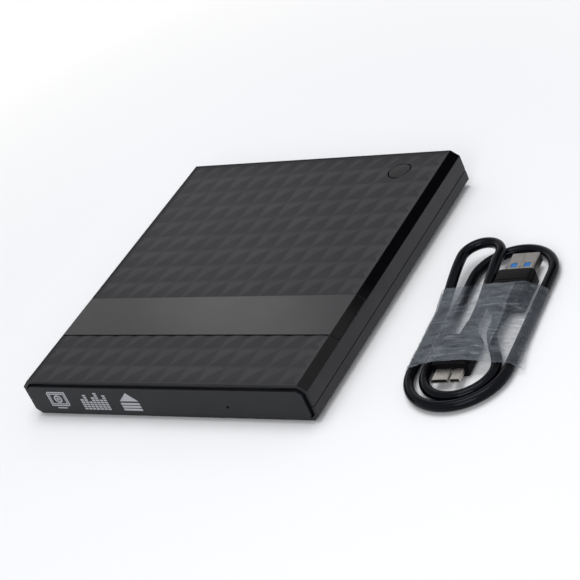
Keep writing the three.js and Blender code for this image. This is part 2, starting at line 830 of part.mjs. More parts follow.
function trayBody() {
  const deck = block(-deckHalf, deckHalf, trayFront, trayRear, deckUnderside, deckTop);
  const recess = upright(discRecessRadius, 0, discCentreY, deckFloor, deckTop + overrun, bigRoundSides);
  const step = upright(
    smallDiscRadius + discClearance, 0, discCentreY, deckFloor - smallDiscDrop, deckTop, bigRoundSides,
  );
  const notches = [1, 3, 5, 7].map((eighth) => {
    const turn = Math.PI / 4 * eighth;
    const [x, y] = [discRecessRadius * Math.cos(turn), discCentreY + discRecessRadius * Math.sin(turn)];
    return upright(fingerNotchRadius, x, y, deckFloor, deckTop + overrun);
  });
  const parts = [cut(deck, [recess, step, ...notches])];
  const wallTop = deckUnderside + seatGap;
  parts.push(block(-skirtOut, skirtOut, trayFront, trayFront + trayWall, bottomSheetZ, wallTop));
  parts.push(block(-skirtOut, skirtOut, crossWallY, crossWallY + trayWall, bottomSheetZ, wallTop));
  for (const side of [-1, 1]) {
    const [x0, x1] = [Math.min(side * skirtIn, side * skirtOut), Math.max(side * skirtIn, side * skirtOut)];
    parts.push(block(x0, x1, trayFront, trayRear, bottomSheetZ, deckUnderside + seatGap));
    const [t0, t1] = [Math.min(side * skirtIn, side * tongueOut), Math.max(side * skirtIn, side * tongueOut)];
    parts.push(block(
      t0, t1, trayFront + trayWall, trayRear, tongueZ - tongueHeight / 2, tongueZ + tongueHeight / 2,
    ));
  }
  const lane = block(
    postX - laneHalfWidth, postX + laneHalfWidth, laneFront, trayRear + overrun,
    -overrun, chassisFloor + postHeight + slideGap,
  );
  const pinhole = barAlongY(pinholeRadius + seatGap, pinholeX, pinholeZ, -overrun, trayFront + 2 * trayWall);
  return cut(join(parts), [placedInTray(windowOutlineBody(0, 0, deckTop + overrun)), lane, pinhole]);
}

function trayBezel() {
  const face = outline(insetOutline(shellSection, shellWall + bezelGap));
  const bevel = {
    depth: bezelThickness - 2 * bezelEdge,
    bevelEnabled: true,
    bevelThickness: bezelEdge,
    bevelSize: bezelEdge,
    bevelOffset: -bezelEdge,
    bevelSegments: 2,
  };
  const panel = new THREE.ExtrudeGeometry(face, bevel).rotateX(Math.PI / 2);
  const pinhole = barAlongY(
    pinholeRadius, pinholeX, pinholeZ, -bezelProud - overrun, bezelBack + overrun, roundSides / 2,
  );
  return solid(panel.translate(0, bezelBack - bezelEdge, 0)).subtract(pinhole);
}

function trayBottomPlate() {
  const half = skirtIn - seatGap;
  const front = trayFront + trayWall + seatGap;
  const sheet = block(-half, half, front, crossWallY - seatGap, bottomSheetZ, bottomSheetTop);
  const lane = block(
    postX - laneHalfWidth, postX + laneHalfWidth, laneFront, crossWallY + overrun, 0, deckTop,
  );
  const pin = upright(
    leverPivotRadius, leverPivotX, leverPivotY, bottomSheetZ + bottomSheet / 2, leverTop + seatGap,
  );
  return sheet.subtract(lane).add(pin);
}

// Lock lever: drawn in its locked place round the pivot, then turned back to its released place
function lockLever() {
  const half = leverArmWidth / 2;
  const tabEnd = pinholeX - leverPivotX - leverArmWidth;
  const hub = upright(leverHubRadius, 0, 0, leverBottom, leverTop);
  const arm = block(-half, half, 0, leverArmLength, leverBottom, leverTop);
  const nose = block(
    -leverNoseReach, half, leverArmLength - leverNoseWidth, leverArmLength, leverBottom, leverTop,
  );
  const tab = block(tabEnd, 0, -half, half, leverBottom, leverTop);
  const tabTop = leverBottom + leverTabHeight;
  const tabEar = block(tabEnd, tabEnd + 2 * leverArmWidth, -half, half, leverBottom, tabTop);
  const bore = upright(leverPivotRadius + seatGap, 0, 0, 0, deckTop);
  return join([hub, arm, nose, tab, tabEar]).subtract(bore);
}

function solenoid() {
  const solenoidX = postX - solenoidInset - solenoidLength;
  const solenoidY = leverPivotY + solenoidSetback;
  const shape = roundedOutline(
    solenoidX, solenoidX + solenoidLength, solenoidY, solenoidY + solenoidWidth, solenoidWidth / 8,
  );
  return plate(shape, leverBottom, leverBottom + solenoidHeight);
}

// Main board: behind the traverse, with an arm forwards between its corner and the post's lane
const mainBoardZ = bottomSheetTop + seatGap;
const traverseRight = traverseInner * Math.sin(traverseAngle) + traverseHalfWidth * Math.cos(traverseAngle);
const traverseBack = traverseInner * Math.cos(traverseAngle) + traverseHalfWidth * Math.sin(traverseAngle);
const mainBoardFront = discCentreY + traverseBack + mainBoardGap;
const mainBoardRear = crossWallY - mainBoardRearGap;

function mainBoard() {
  const left = -skirtIn + mainBoardInset;
  const right = postX - laneHalfWidth - mainBoardLaneGap;
  const armLeft = traverseRight + mainBoardGap;
  const armFront = leverPivotY + solenoidSetback + solenoidWidth + mainBoardArmSetback;
  const shape = outline([
    [right, armFront],
    [right, mainBoardRear],
    [left, mainBoardRear],
    [left, mainBoardFront],
    [armLeft, mainBoardFront],
    [armLeft, armFront],
  ]);
  return plate(shape, mainBoardZ, mainBoardZ + mainBoardSheet);
}

function mainChip() {
  const z = mainBoardZ + mainBoardSheet + seatGap;
  const y = (mainBoardFront + mainBoardRear) / 2;
  const half = chipSize / 2;
  return block(chipX - half, chipX + half, y - half, y + half, z, z + chipHeight);
}

addPiece(drive, 'tray', trayBody(), trayPlastic);
addPiece(drive, 'tray_bezel', trayBezel(), bezelPlastic);
addPiece(drive, 'tray_bottom_plate', trayBottomPlate(), pressedSteel);
addPiece(drive, 'lock_solenoid', solenoid(), copperBrown);
addPiece(drive, 'main_board', mainBoard(), boardLaminate);
addPiece(drive, 'main_chip', mainChip(), chipResin);
const lever = addPiece(drive, 'lock_lever', lockLever(), paleResin);
lever.position.set(leverPivotX, leverPivotY, 0);
lever.rotation.z = -leverRelease;

// Traverse pieces, in the traverse group's own frame
const frameTop = mainBoardZ + traverseSheet;
const rodZ = frameTop + rodLift;
const holderInner = stepperFront + leverArmWidth;
const innerHolder = [holderInner, holderInner + holderLength];
const outerHolder = [traverseOuter - holderLength, traverseOuter];
const rodStart = innerHolder[0] + seatGap;
const rodEnd = traverseOuter - seatGap;
const openingInner = innerHolder[1] + slideGap + seatGap;

function traverseFrame() {
  const sheet = plate(roundedOutline(
    -traverseInner, traverseOuter, -traverseHalfWidth, traverseHalfWidth, holderHalfWidth,
  ), mainBoardZ, frameTop);
  const opening = block(
    openingInner, lensOuter + sledFront + slideGap,
    -sledLeft - slideGap, sledRight + slideGap, 0, frameTop + overrun,
  );
  const holders = [];
  const bores = [];
  for (const [along0, along1] of [innerHolder, outerHolder]) {
    for (const across of [mainRodAcross, sideRodAcross]) {
      holders.push(block(
        along0, along1, across - holderHalfWidth, across + holderHalfWidth,
        mainBoardZ + traverseSheet / 2, rodZ + rodRadius + seatGap,
      ));
      bores.push(barAlongX(rodRadius + rodClearance, across, rodZ, along0 - overrun, along1 + overrun));
    }
  }
  holders.push(block(
    outerHolder[0], outerHolder[1], mainRodAcross, traverseHalfWidth,
    mainBoardZ + traverseSheet / 2, rodZ + rodRadius + seatGap,
  ));
  bores.push(barAlongX(
    screwThreadRadius + rodClearance, leadScrewAcross, rodZ,
    outerHolder[0] - overrun, outerHolder[1] + overrun,
  ));
  return cut(join([sheet.subtract(opening), ...holders]), bores);
}

function deckCover() {
  const top = deckFloor - deckCoverDrop;
  const bottom = top - deckCoverSheet;
  const spindleHole = upright(rotorRadius + slideGap, 0, 0, 0, deckTop);
  const lensSlot = plate(roundedOutline(
    lensInner - actuatorHalfAlong - 2 * seatGap, lensOuter + actuatorHalfAlong + 2 * seatGap,
    -actuatorHalfAcross - 2 * seatGap, actuatorHalfAcross + 2 * seatGap, windowCorner / 4,
  ), 0, deckTop);
  return cut(windowOutlineBody(seatGap, bottom, top), [spindleHole, lensSlot]);
}

const motorBaseBottom = frameTop + seatGap;
const motorBaseTop = motorBaseBottom + motorBaseSheet;
const rotorBottom = motorBaseTop + seatGap;
const rotorTop = rotorBottom + rotorHeight;
const sleeveTop = rotorTop - rotorWall - seatGap;
const turntableTop = deckFloor + turntableRise;

function motorBase() {
  return turned([
    [0, motorBaseBottom],
    [motorBaseRadius, motorBaseBottom],
    [motorBaseRadius, motorBaseTop],
    [motorSleeveRadius, motorBaseTop],
    [motorSleeveRadius, sleeveTop],
    [0, sleeveTop],
  ]);
}

function turntable() {
  const underside = turntableTop - turntableThickness;
  return turned([
    [0, rotorTop - rotorWall],
    [rotorRadius - rotorWall, rotorTop - rotorWall],
    [rotorRadius - rotorWall, rotorBottom],
    [rotorRadius, rotorBottom],
    [rotorRadius, rotorTop],
    [turntableBossRadius, rotorTop],
    [turntableBossRadius, underside],
    [turntableRadius, underside],
    [turntableRadius, turntableTop],
    [0, turntableTop],
  ], bigRoundSides / 2);
}

function discPad() {
  const bottom = turntableTop + seatGap;
  return turned([
    [padRadius - padWidth, bottom],
    [padRadius, bottom],
    [padRadius, bottom + padThickness],
    [padRadius - padWidth, bottom + padThickness],
    [padRadius - padWidth, bottom],
  ], bigRoundSides / 2);
}

function clampHub() {
  const bottom = turntableTop + seatGap;
  const top = bottom + hubHeight;
  const core = turned([
    [0, bottom],
    [hubRadius, bottom],
    [hubRadius, top - hubEdge],
    [hubRadius - hubEdge, top],
    [hubBoreRadius + hubEdge, top],
    [hubBoreRadius, top - hubEdge],
    [0, top - hubEdge],
  ]);
  const claws = [];
  for (let i = 0; i < clawCount; i += 1) {
    const claw = block(
      hubRadius / 2, hubRadius + clawReach, -clawWidth / 2, clawWidth / 2,
      top - hubEdge - clawHeight, top - hubEdge,
    );
    claws.push(claw.rotate([0, 0, i * 360 / clawCount]));
  }
  return join([core, ...claws]);
}

function guideRod(across) {
  return barAlongX(rodRadius, across, rodZ, rodStart, rodEnd, roundSides / 2);
}

const stepperBack = stepperFront - stepperLength;
const leadScrewStart = stepperFront + seatGap;

function leadScrew() {
  return barAlongX(screwThreadRadius, leadScrewAcross, rodZ, leadScrewStart, rodEnd, roundSides / 2);
}

function stepper() {
  return barAlongX(stepperRadius, leadScrewAcross, rodZ, stepperBack, stepperFront);
}

const sledTop = deckUnderside - sledHeadroom;

function sled() {
  const back = lensInner - sledBack;
  const front = lensInner + sledFront;
  const sledBottom = bottomSheetTop + sledClear;
  const eyeRadius = rodRadius + rodClearance + eyeWall;
  const parts = [block(back, front, -sledLeft, sledRight, sledBottom, sledTop)];
  const bores = [barAlongX(rodRadius + rodClearance, mainRodAcross, rodZ, back - overrun, front + overrun)];
  const eyeBack = back + eyeWall * 2;
  const eyeFront = lensInner + eyeLength - eyeWall;
  for (const start of [eyeBack, eyeFront - eyeLength]) {
    parts.push(barAlongX(eyeRadius, mainRodAcross, rodZ, start, start + eyeLength));
    parts.push(block(
      start, start + eyeLength, sledRight - eyeWall, mainRodAcross,
      rodZ - eyeRadius / 2, rodZ + eyeRadius / 2,
    ));
  }
  const forkTop = rodZ + rodRadius + rodClearance + eyeWall;
  const forkBottom = rodZ - rodRadius - rodClearance - eyeWall;
  parts.push(block(
    lensInner - eyeLength, lensInner, sideRodAcross - rodRadius, -sledLeft + eyeWall, forkBottom, forkTop,
  ));
  const forkCut = block(
    lensInner - eyeLength - overrun, lensInner + overrun,
    sideRodAcross - 2 * rodRadius, sideRodAcross + rodRadius + rodClearance,
    rodZ - rodRadius - rodClearance, rodZ + rodRadius + rodClearance,
  );
  const followerBottom = rodZ + screwThreadRadius + seatGap;
  const middle = eyeBack + eyeLength + followerHalfLength;
  parts.push(block(
    eyeBack, middle, mainRodAcross, leadScrewAcross + screwThreadRadius,
    followerBottom, followerBottom + followerSheet,
  ));
  const pocket = block(
    lensInner - actuatorOpeningAlong, lensInner + actuatorOpeningAlong,
    -actuatorOpeningAcross, actuatorOpeningAcross, sledTop - lensPocketDepth, sledTop + overrun,
  );
  return cut(join(parts), [...bores, forkCut, pocket]);
}

const actuatorBottom = sledTop + seatGap;

function lensFrame() {
  const body = block(
    lensInner - actuatorHalfAlong, lensInner + actuatorHalfAlong,
    -actuatorHalfAcross, actuatorHalfAcross, actuatorBottom, actuatorBottom + actuatorHeight,
  );
  return body.subtract(block(
    lensInner - actuatorOpeningAlong, lensInner + actuatorOpeningAlong,
    -actuatorOpeningAcross, actuatorOpeningAcross, 0, deckTop,
  ));
}

function lensHolder() {
  const body = block(
    lensInner - holderHalfAlong, lensInner + holderHalfAlong,
    -holderHalfAcross, holderHalfAcross, actuatorBottom, actuatorBottom + holderHeight,
  );
  return body.subtract(upright(lensRadius * 0.7, lensInner, 0, 0, deckTop));
}

function objectiveLens() {
  const bottom = actuatorBottom + holderHeight + seatGap;
  return turned([
    [0, bottom],
    [lensRadius, bottom],
    [lensRadius * 0.8, bottom + lensDome * 0.7],
    [lensRadius * 0.45, bottom + lensDome * 0.95],
    [0, bottom + lensDome],
  ]).translate([lensInner, 0, 0]);
}

addPiece(traverse, 'traverse_frame', traverseFrame(), pressedSteel);
addPiece(traverse, 'deck_cover', deckCover(), blackSteel);
addPiece(traverse, 'disc_motor', motorBase(), pressedSteel);
addPiece(traverse, 'turntable', turntable(), blackSteel);
addPiece(traverse, 'disc_pad', discPad(), footRubber);
addPiece(traverse, 'clamp_hub', clampHub(), trayPlastic);
addPiece(traverse, 'guide_rod_main', guideRod(mainRodAcross), brightSteel);
addPiece(traverse, 'guide_rod_side', guideRod(sideRodAcross), brightSteel);
addPiece(traverse, 'lead_screw', leadScrew(), brightSteel);
addPiece(traverse, 'sled_motor', stepper(), pressedSteel);
addPiece(traverse, 'laser_sled', sled(), castZinc);
addPiece(traverse, 'lens_frame', lensFrame(), blackSteel);
addPiece(traverse, 'lens_holder', lensHolder(), blackResin);
addPiece(traverse, 'objective_lens', objectiveLens(), lensGlass);

// Behind and under the tray: the drive's own plug, its ribbon and the spring rod that starts the tray
function rearPlug() {
  const z0 = plugBottom;
  const left = rearBoardLeft + plugInset;
  const right = rearBoardRight - plugInset;
  const front = chassisBack - plugDepth + chassisSheet;
  const body = block(left, right, front, chassisRear + seatGap, z0, plugTop);
  const mouth = block(
    left + plugInset, right - plugInset, chassisRear - plugDepth / 2, chassisRear + overrun,
    z0 + plugHeight / 3, plugTop - plugHeight / 4,
  );
  return body.subtract(mouth);
}

function rearBoard() {
  return block(
    rearBoardLeft, rearBoardRight, chassisBack - seatGap - rearBoardDepth, chassisBack - seatGap,
    rearBoardZ, rearBoardZ + rearBoardSheet,
  );
}

function ribbon() {
  const z0 = chassisFloor + seatGap;
  const left = rearBoardLeft + ribbonInset;
  const rear = chassisBack - 2 * seatGap - rearBoardDepth;
  return block(left, left + ribbonWidth, rear - ribbonLength, rear, z0, z0 + ribbonSheet);
}

const ejectRodFront = crossWallY + trayWall + seatGap;
const ejectRodRear = chassisBack - chassisSheet - seatGap;
const springStart = ejectRodFront + ejectCollarWidth + seatGap;

function ejectRod() {
  return barAlongY(ejectCollarRadius, ejectRodX, ejectRodZ, ejectRodFront, ejectRodFront + ejectCollarWidth)
    .add(barAlongY(ejectRodRadius, ejectRodX, ejectRodZ, ejectRodFront, ejectRodRear));
}

function ejectSpring() {
  return barAlongY(ejectSpringRadius, ejectRodX, ejectRodZ, springStart, ejectRodRear)
    .subtract(barAlongY(ejectSpringRadius - ejectSpringWall, ejectRodX, ejectRodZ, 0, shellDepth));
}

addPiece(drive, 'drive_plug', rearPlug(), blackResin);
addPiece(drive, 'drive_plug_board', rearBoard(), boardLaminate);
addPiece(drive, 'ribbon_cable', ribbon(), paleResin);
addPiece(drive, 'eject_rod', ejectRod(), brightSteel);
addPiece(drive, 'eject_spring', ejectSpring(), brightSteel);

// Bridge board at the back of the shell: its socket, the drive's mating socket and the button's switch
function bridgeBoard() {
  return block(
    -bridgeBoardHalfWidth, bridgeBoardHalfWidth, bridgeFront, bridgeFront + bridgeBoardDepth,
    bridgeBoardZ, bridgeTop,
  );
}

function dataSocket() {
  const x0 = socketX - socketWidth / 2;
  const x1 = socketX + socketWidth / 2;
  const y0 = shellDepth - socketDepth;
  const body = block(x0, x1, y0, shellDepth - seatGap, socketBottom, socketTop);
  const mouth = block(
    x0 + socketWall, x1 - socketWall, y0 + 2 * socketWall, shellDepth,
    socketBottom + socketWall, socketTop - socketWall,
  );
  const tongueMiddle = (socketBottom + socketTop) / 2;
  const tongue = block(
    x0 + 3 * socketWall, x1 - 3 * socketWall, y0 + socketWall, shellDepth - 2 * seatGap,
    tongueMiddle - socketTongue / 2, tongueMiddle + socketTongue / 2,
  );
  return body.subtract(mouth).add(tongue);
}

function bridgeSocket() {
  const left = rearBoardLeft + plugInset;
  const right = rearBoardRight - plugInset;
  const y0 = chassisRear + 2 * seatGap;
  const z0 = bridgeTop + seatGap;
  return block(left, right, y0, y0 + sataDepth, z0, plugTop);
}

function switchBody() {
  const z0 = bridgeTop + seatGap;
  const half = switchSize / 2;
  return block(buttonX - half, buttonX + half, buttonY - half, buttonY + half, z0, z0 + switchHeight)
    .add(upright(
      switchPlungerRadius, buttonX, buttonY, z0 + switchHeight / 2, z0 + switchHeight + switchPlungerHeight,
    ));
}

function bridgeChip() {
  const z0 = bridgeTop + seatGap;
  const y = bridgeFront + bridgeBoardDepth / 2;
  const half = chipSize / 4;
  return block(-half * 2, 0, y - half, y + half, z0, z0 + chipHeight);
}

function capacitor() {
  const z0 = bridgeTop + seatGap;
  return upright(capacitorRadius, capacitorX, bridgeFront + bridgeBoardDepth / 2, z0, z0 + capacitorHeight);
}

addPiece(drive, 'bridge_board', bridgeBoard(), boardLaminate);
addPiece(drive, 'data_socket', dataSocket(), brightSteel);
addPiece(drive, 'bridge_socket', bridgeSocket(), blackResin);
addPiece(drive, 'eject_switch', switchBody(), blackResin);
addPiece(drive, 'bridge_chip', bridgeChip(), chipResin);
addPiece(drive, 'bridge_capacitor', capacitor(), brightSteel);

// The hank lies on the floor to the right of the drive, almost in line with it
const hank = new THREE.Group();
hank.position.set(hankX, hankY + drive.position.y, 0);
hank.rotation.z = hankTurn;
product.add(hank);

const cableRadius = cableDiameter / 2;
const floorZ = cableRadius + cableLift;
const upperZ = floorZ + cableDiameter + crossingGap;
const plugAZ = cableLift + plugAHeight / 2;
const plugBZ = cableLift + plugBHeight / 2;
const plugAEnd = plugATip - shellALength - plugALength - reliefLength;
const plugBEnd = plugBTip + shellBLength + plugBLength + reliefLength;

function eased(share) {
  return share * share * (3 - 2 * share);
}

// One run of cable along Y, which may shift sideways and climb or sink, evenly eased
function run(x0, x1, y0, y1, z0, z1, steps, straight) {
  const points = [];
  const way = Math.sign(y1 - y0);
  const [from, to] = [y0 + way * straight[0], y1 - way * straight[1]];
  for (let i = 0; i <= steps; i += 1) {
    const share = i / steps;
    const ease = eased(share);
    points.push(new THREE.Vector3(x0 + (x1 - x0) * ease, from + (to - from) * share, z0 + (z1 - z0) * ease));
  }
  return points;
}

// A half round turn from one run to the next, at the rear (1) or the front (-1)
function arch(x0, x1, y, z, end) {
  const points = [];
  const middle = (x0 + x1) / 2;
  const radius = (x1 - x0) / 2;
  for (let i = 1; i < archSteps; i += 1) {
    const turn = Math.PI * i / archSteps;
    points.push(new THREE.Vector3(
      middle - radius * Math.cos(turn), y + end * Math.abs(radius) * Math.sin(turn), z,
    ));
  }
  return points;
}

function hankRoute() {
  const start = new THREE.Vector3(plugBX, plugBEnd + seatGap, plugBZ);
  const end = new THREE.Vector3(plugAX, plugAEnd - seatGap, plugAZ);
  return [
    start,
    ...run(plugBX, upperRun, start.y, leftArchY, plugBZ, upperZ, climbSteps, [cableDiameter, 0]),
    ...arch(upperRun, leftRun, leftArchY, upperZ, 1),
    ...run(leftRun, leftRun, leftArchY, leftArchY - descentLength, upperZ, floorZ, climbSteps, [0, 0]),
    ...run(
      leftRun, leftRun, leftArchY - descentLength, outerArchY, floorZ, floorZ, runSteps, [cableDiameter, 0],
    ),
    ...arch(leftRun, rightRun, outerArchY, floorZ, -1),
    ...run(rightRun, rightRun, outerArchY, rightArchY, floorZ, floorZ, runSteps, [0, 0]),
    ...arch(rightRun, innerLeftRun, rightArchY, floorZ, 1),
    ...run(innerLeftRun, innerLeftRun, rightArchY, innerArchY, floorZ, floorZ, runSteps, [0, 0]),
    ...arch(innerLeftRun, innerRightRun, innerArchY, floorZ, -1),
    ...run(innerRightRun, plugAX, innerArchY, end.y, floorZ, plugAZ, climbSteps, [0, cableDiameter]),
    end,
  ];
}

// A closed tube of that radius along points, with a ring at each of them and flat ends
function tubeAlong(points, radius, sides) {
  const positions = [];
  const triangles = [];
  const up = new THREE.Vector3(0, 0, 1);
  points.forEach((point, i) => {
    const ahead = points[Math.min(i + 1, points.length - 1)];
    const behind = points[Math.max(i - 1, 0)];
    const along = new THREE.Vector3().subVectors(ahead, behind).normalize();
    const side = new THREE.Vector3().crossVectors(along, up).normalize();
    const lift = new THREE.Vector3().crossVectors(side, along);
    for (let k = 0; k < sides; k += 1) {
      const turn = 2 * Math.PI * (k + 1 / 2) / sides;
      const place = point.clone().addScaledVector(side, radius * Math.cos(turn))
        .addScaledVector(lift, radius * Math.sin(turn));
      positions.push(place.x, place.y, place.z);
    }
  });
  for (let i = 0; i + 1 < points.length; i += 1) {
    for (let k = 0; k < sides; k += 1) {
      const [a, b] = [i * sides + k, i * sides + (k + 1) % sides];
      triangles.push(a, a + sides, b, b, a + sides, b + sides);
    }
  }
  const last = (points.length - 1) * sides;
  for (let k = 1; k + 1 < sides; k += 1) {
    triangles.push(0, k, k + 1, last, last + k + 1, last + k);
  }
  const geometry = new THREE.BufferGeometry();
  geometry.setAttribute('position', new THREE.Float32BufferAttribute(positions, 3));
  geometry.setIndex(triangles);
  return geometry;
}

// Least distance between stretches of the cable that are not next to each other, less its diameter
function leastSelfGap(points) {
  const line = new THREE.CatmullRomCurve3(points, false, 'centripetal');
  const count = Math.round(line.getLength() / cableRadius);
  const spaced = line.getSpacedPoints(count);
  const apart = Math.ceil(Math.PI * cableDiameter / cableRadius);
  let least = Infinity;
  for (let i = 0; i < spaced.length; i += 1) {
    for (let j = i + apart; j < spaced.length; j += 1) {
      least = Math.min(least, spaced[i].distanceTo(spaced[j]));
    }
  }
  return least - cableDiameter;
}

const route = hankRoute();
const routeLength = route.slice(1).reduce((sum, point, i) => sum + point.distanceTo(route[i]), 0);
const selfGap = leastSelfGap(route);
console.log(`cable ${routeLength.toFixed(1)} mm long, ${selfGap.toFixed(2)} mm least gap to itself`);

function relief(from, to, x, z) {
  const length = Math.abs(to - from);
  const cone = new THREE.CylinderGeometry(
    to > from ? reliefTip : reliefRadius, to > from ? reliefRadius : reliefTip, length, roundSides / 2,
  );
  return solid(cone.translate(x, (from + to) / 2, z));
}

function overmouldA() {
  const front = plugATip - shellALength;
  const [halfW, halfH] = [plugAWidth / 2, plugAHeight / 2];
  const shape = roundedOutline(plugAX - halfW, plugAX + halfW, plugAZ - halfH, plugAZ + halfH, plugACorner);
  const back = front - plugALength;
  return prismAlongY(shape, back, front).add(relief(back + overrun, plugAEnd, plugAX, plugAZ));
}

function shellA() {
  const y0 = plugATip - shellALength + seatGap;
  const [halfW, halfH] = [shellAWidth / 2, shellAHeight / 2];
  const tube = block(plugAX - halfW, plugAX + halfW, y0, plugATip, plugAZ - halfH, plugAZ + halfH)
    .subtract(block(
      plugAX - halfW + shellAWall, plugAX + halfW - shellAWall, y0 - overrun, plugATip + overrun,
      plugAZ - halfH + shellAWall, plugAZ + halfH - shellAWall,
    ));
  const windows = [-1, 1].map((side) => block(
    plugAX + side * windowAOffset - windowASize / 2, plugAX + side * windowAOffset + windowASize / 2,
    plugATip - windowASetback - windowASize, plugATip - windowASetback, -overrun, plugAZ + shellAHeight,
  ));
  return cut(tube, windows);
}

function insertA() {
  const halfW = shellAWidth / 2 - shellAWall - seatGap;
  const bottom = plugAZ - shellAHeight / 2 + shellAWall + seatGap;
  return block(
    plugAX - halfW, plugAX + halfW, plugATip - shellALength + seatGap, plugATip - seatGap,
    bottom, bottom + insertAHeight,
  );
}

function overmouldB() {
  const front = plugBTip + shellBLength;
  const back = front + plugBLength;
  const [halfW, halfH] = [plugBWidth / 2, plugBHeight / 2];
  const shape = roundedOutline(plugBX - halfW, plugBX + halfW, plugBZ - halfH, plugBZ + halfH, plugBCorner);
  return prismAlongY(shape, front, back).add(relief(back - overrun, plugBEnd, plugBX, plugBZ));
}

function shellB() {
  const width = shellBLeftWidth + shellBNotch + shellBRightWidth;
  const left = plugBX - width / 2;
  const rear = plugBTip + shellBLength - seatGap;
  const [z0, z1] = [plugBZ - shellBHeight / 2, plugBZ + shellBHeight / 2];
  return block(left, left + width, plugBTip, rear, z0, z1).subtract(block(
    left + shellBLeftWidth, left + shellBLeftWidth + shellBNotch,
    plugBTip - overrun, rear - shellBRoot, z0 - overrun, z1 + overrun,
  ));
}

// Everything round that the film spans at a place along the hank: points across it, and their radius
function bundleAt(y, reach) {
  const held = [];
  route.slice(1).forEach((point, i) => {
    const before = route[i];
    if ((before.y - y) * (point.y - y) <= 0 && before.y !== point.y) {
      const place = before.clone().lerp(point, (y - before.y) / (point.y - before.y));
      held.push([place.x, place.z, cableRadius]);
    }
  });
  const near = (y0, y1) => Math.min(y0, y1) - reach <= y && y <= Math.max(y0, y1) + reach;
  const frontA = plugATip - shellALength;
  const frontB = plugBTip + shellBLength;
  const plugs = [
    [plugAX, plugAZ, plugAWidth, plugAHeight, plugACorner, plugAEnd, frontA - plugALength, frontA],
    [plugBX, plugBZ, plugBWidth, plugBHeight, plugBCorner, plugBEnd, frontB + plugBLength, frontB],
  ];
  plugs.forEach(([x, z, width, height, corner, end, back, front]) => {
    const [across, up] = [width / 2 - corner, height / 2 - corner];
    if (near(end, back)) {
      held.push([x, z, reliefRadius]);
    }
    if (near(back, front)) {
      held.push([x - across, z - up, corner], [x + across, z - up, corner]);
      held.push([x - across, z + up, corner], [x + across, z + up, corner]);
    }
  });
  return held;
}

// The taut loop of film round what it spans, that far off it, with a corner between each two of its
// evenly turned sides
function filmLoop(y, away) {
  const step = 2 * Math.PI / sleeveDirections;
  const held = bundleAt(y, (sleeveRear - sleeveFront) / sleeveStations);
  const reaches = Array.from({ length: sleeveDirections }, (_, k) => Math.max(...held.map(
    ([x, z, radius]) => x * Math.cos(k * step) + z * Math.sin(k * step) + radius + away,
  )));
  return reaches.map((reach, k) => {
    const next = reaches[(k + 1) % sleeveDirections];
    const slip = (next - reach * Math.cos(step)) / Math.sin(step);
    return [
      reach * Math.cos(k * step) - slip * Math.sin(k * step), y,
      reach * Math.sin(k * step) + slip * Math.cos(k * step),
    ];
  });
}

function filmSleeve() {
  const pitch = (sleeveRear - sleeveFront) / sleeveStations;
  const loops = [];
  for (let i = 0; i <= sleeveStations; i += 1) {
    loops.push(filmLoop(sleeveFront + pitch * i, seatGap + sleeveFilm));
  }
  for (let i = sleeveStations; i >= 0; i -= 1) {
    loops.push(filmLoop(sleeveFront + pitch * i, seatGap));
  }
  const triangles = [];
  loops.forEach((_, i) => {
    for (let k = 0; k < sleeveDirections; k += 1) {
      const after = (k + 1) % sleeveDirections;
      const [here, there] = [i * sleeveDirections, ((i + 1) % loops.length) * sleeveDirections];
      triangles.push(here + k, there + k, here + after, here + after, there + k, there + after);
    }
  });
  const film = new THREE.BufferGeometry();
  film.setAttribute('position', new THREE.Float32BufferAttribute(loops.flat(2), 3));
  film.setIndex(triangles);
  return film;
}

addPiece(hank, 'usb_cable', tubeAlong(route, cableRadius, cableSides), cableJacket);
addPiece(hank, 'plug_a_overmould', overmouldA(), cableJacket);
addPiece(hank, 'plug_a_shell', shellA(), brightSteel);
addPiece(hank, 'plug_a_insert', insertA(), blueResin);
addPiece(hank, 'plug_b_overmould', overmouldB(), cableJacket);
addPiece(hank, 'plug_b_shell', shellB(), brightSteel);
addPiece(hank, 'cable_sleeve', filmSleeve(), sleeveClear);

export default product;
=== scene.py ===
"""An external disc drive and its loose data cable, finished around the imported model.

Lengths are in metres, +Z is up, and the drive's front faces -Y.
"""

import math

import bmesh
import bpy
from mathutils import Matrix, Quaternion, Vector, noise


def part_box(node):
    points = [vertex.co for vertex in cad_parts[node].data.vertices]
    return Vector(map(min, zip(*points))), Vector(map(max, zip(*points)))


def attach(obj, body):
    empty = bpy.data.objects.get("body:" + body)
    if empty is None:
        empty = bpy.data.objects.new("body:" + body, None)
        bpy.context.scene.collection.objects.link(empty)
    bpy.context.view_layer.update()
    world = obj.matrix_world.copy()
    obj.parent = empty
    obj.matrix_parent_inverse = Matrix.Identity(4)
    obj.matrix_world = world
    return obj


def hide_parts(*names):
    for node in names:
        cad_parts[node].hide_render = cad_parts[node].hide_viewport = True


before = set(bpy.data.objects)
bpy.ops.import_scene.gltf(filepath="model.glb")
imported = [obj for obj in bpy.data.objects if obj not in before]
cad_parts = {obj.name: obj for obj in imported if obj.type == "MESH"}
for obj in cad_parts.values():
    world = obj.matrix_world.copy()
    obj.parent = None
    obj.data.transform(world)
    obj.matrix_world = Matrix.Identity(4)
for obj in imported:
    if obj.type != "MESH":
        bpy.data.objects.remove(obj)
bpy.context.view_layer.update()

# The camera stands off the drive's front right corner, above it, behind a long lens, and it is rolled
# about its own line of sight, which is what turns the whole picture.
camera_place = Vector((0.48961, -0.530915, 0.427013))
camera_aim = Vector((0.025356, -0.006682, 0.010))
camera_roll = math.radians(25.378)
camera_lens = 120.815


def placed(name, data):
    """An object in the scene, with its mesh, lamp or camera."""
    made = bpy.data.objects.new(name, data)
    bpy.context.collection.objects.link(made)
    return made


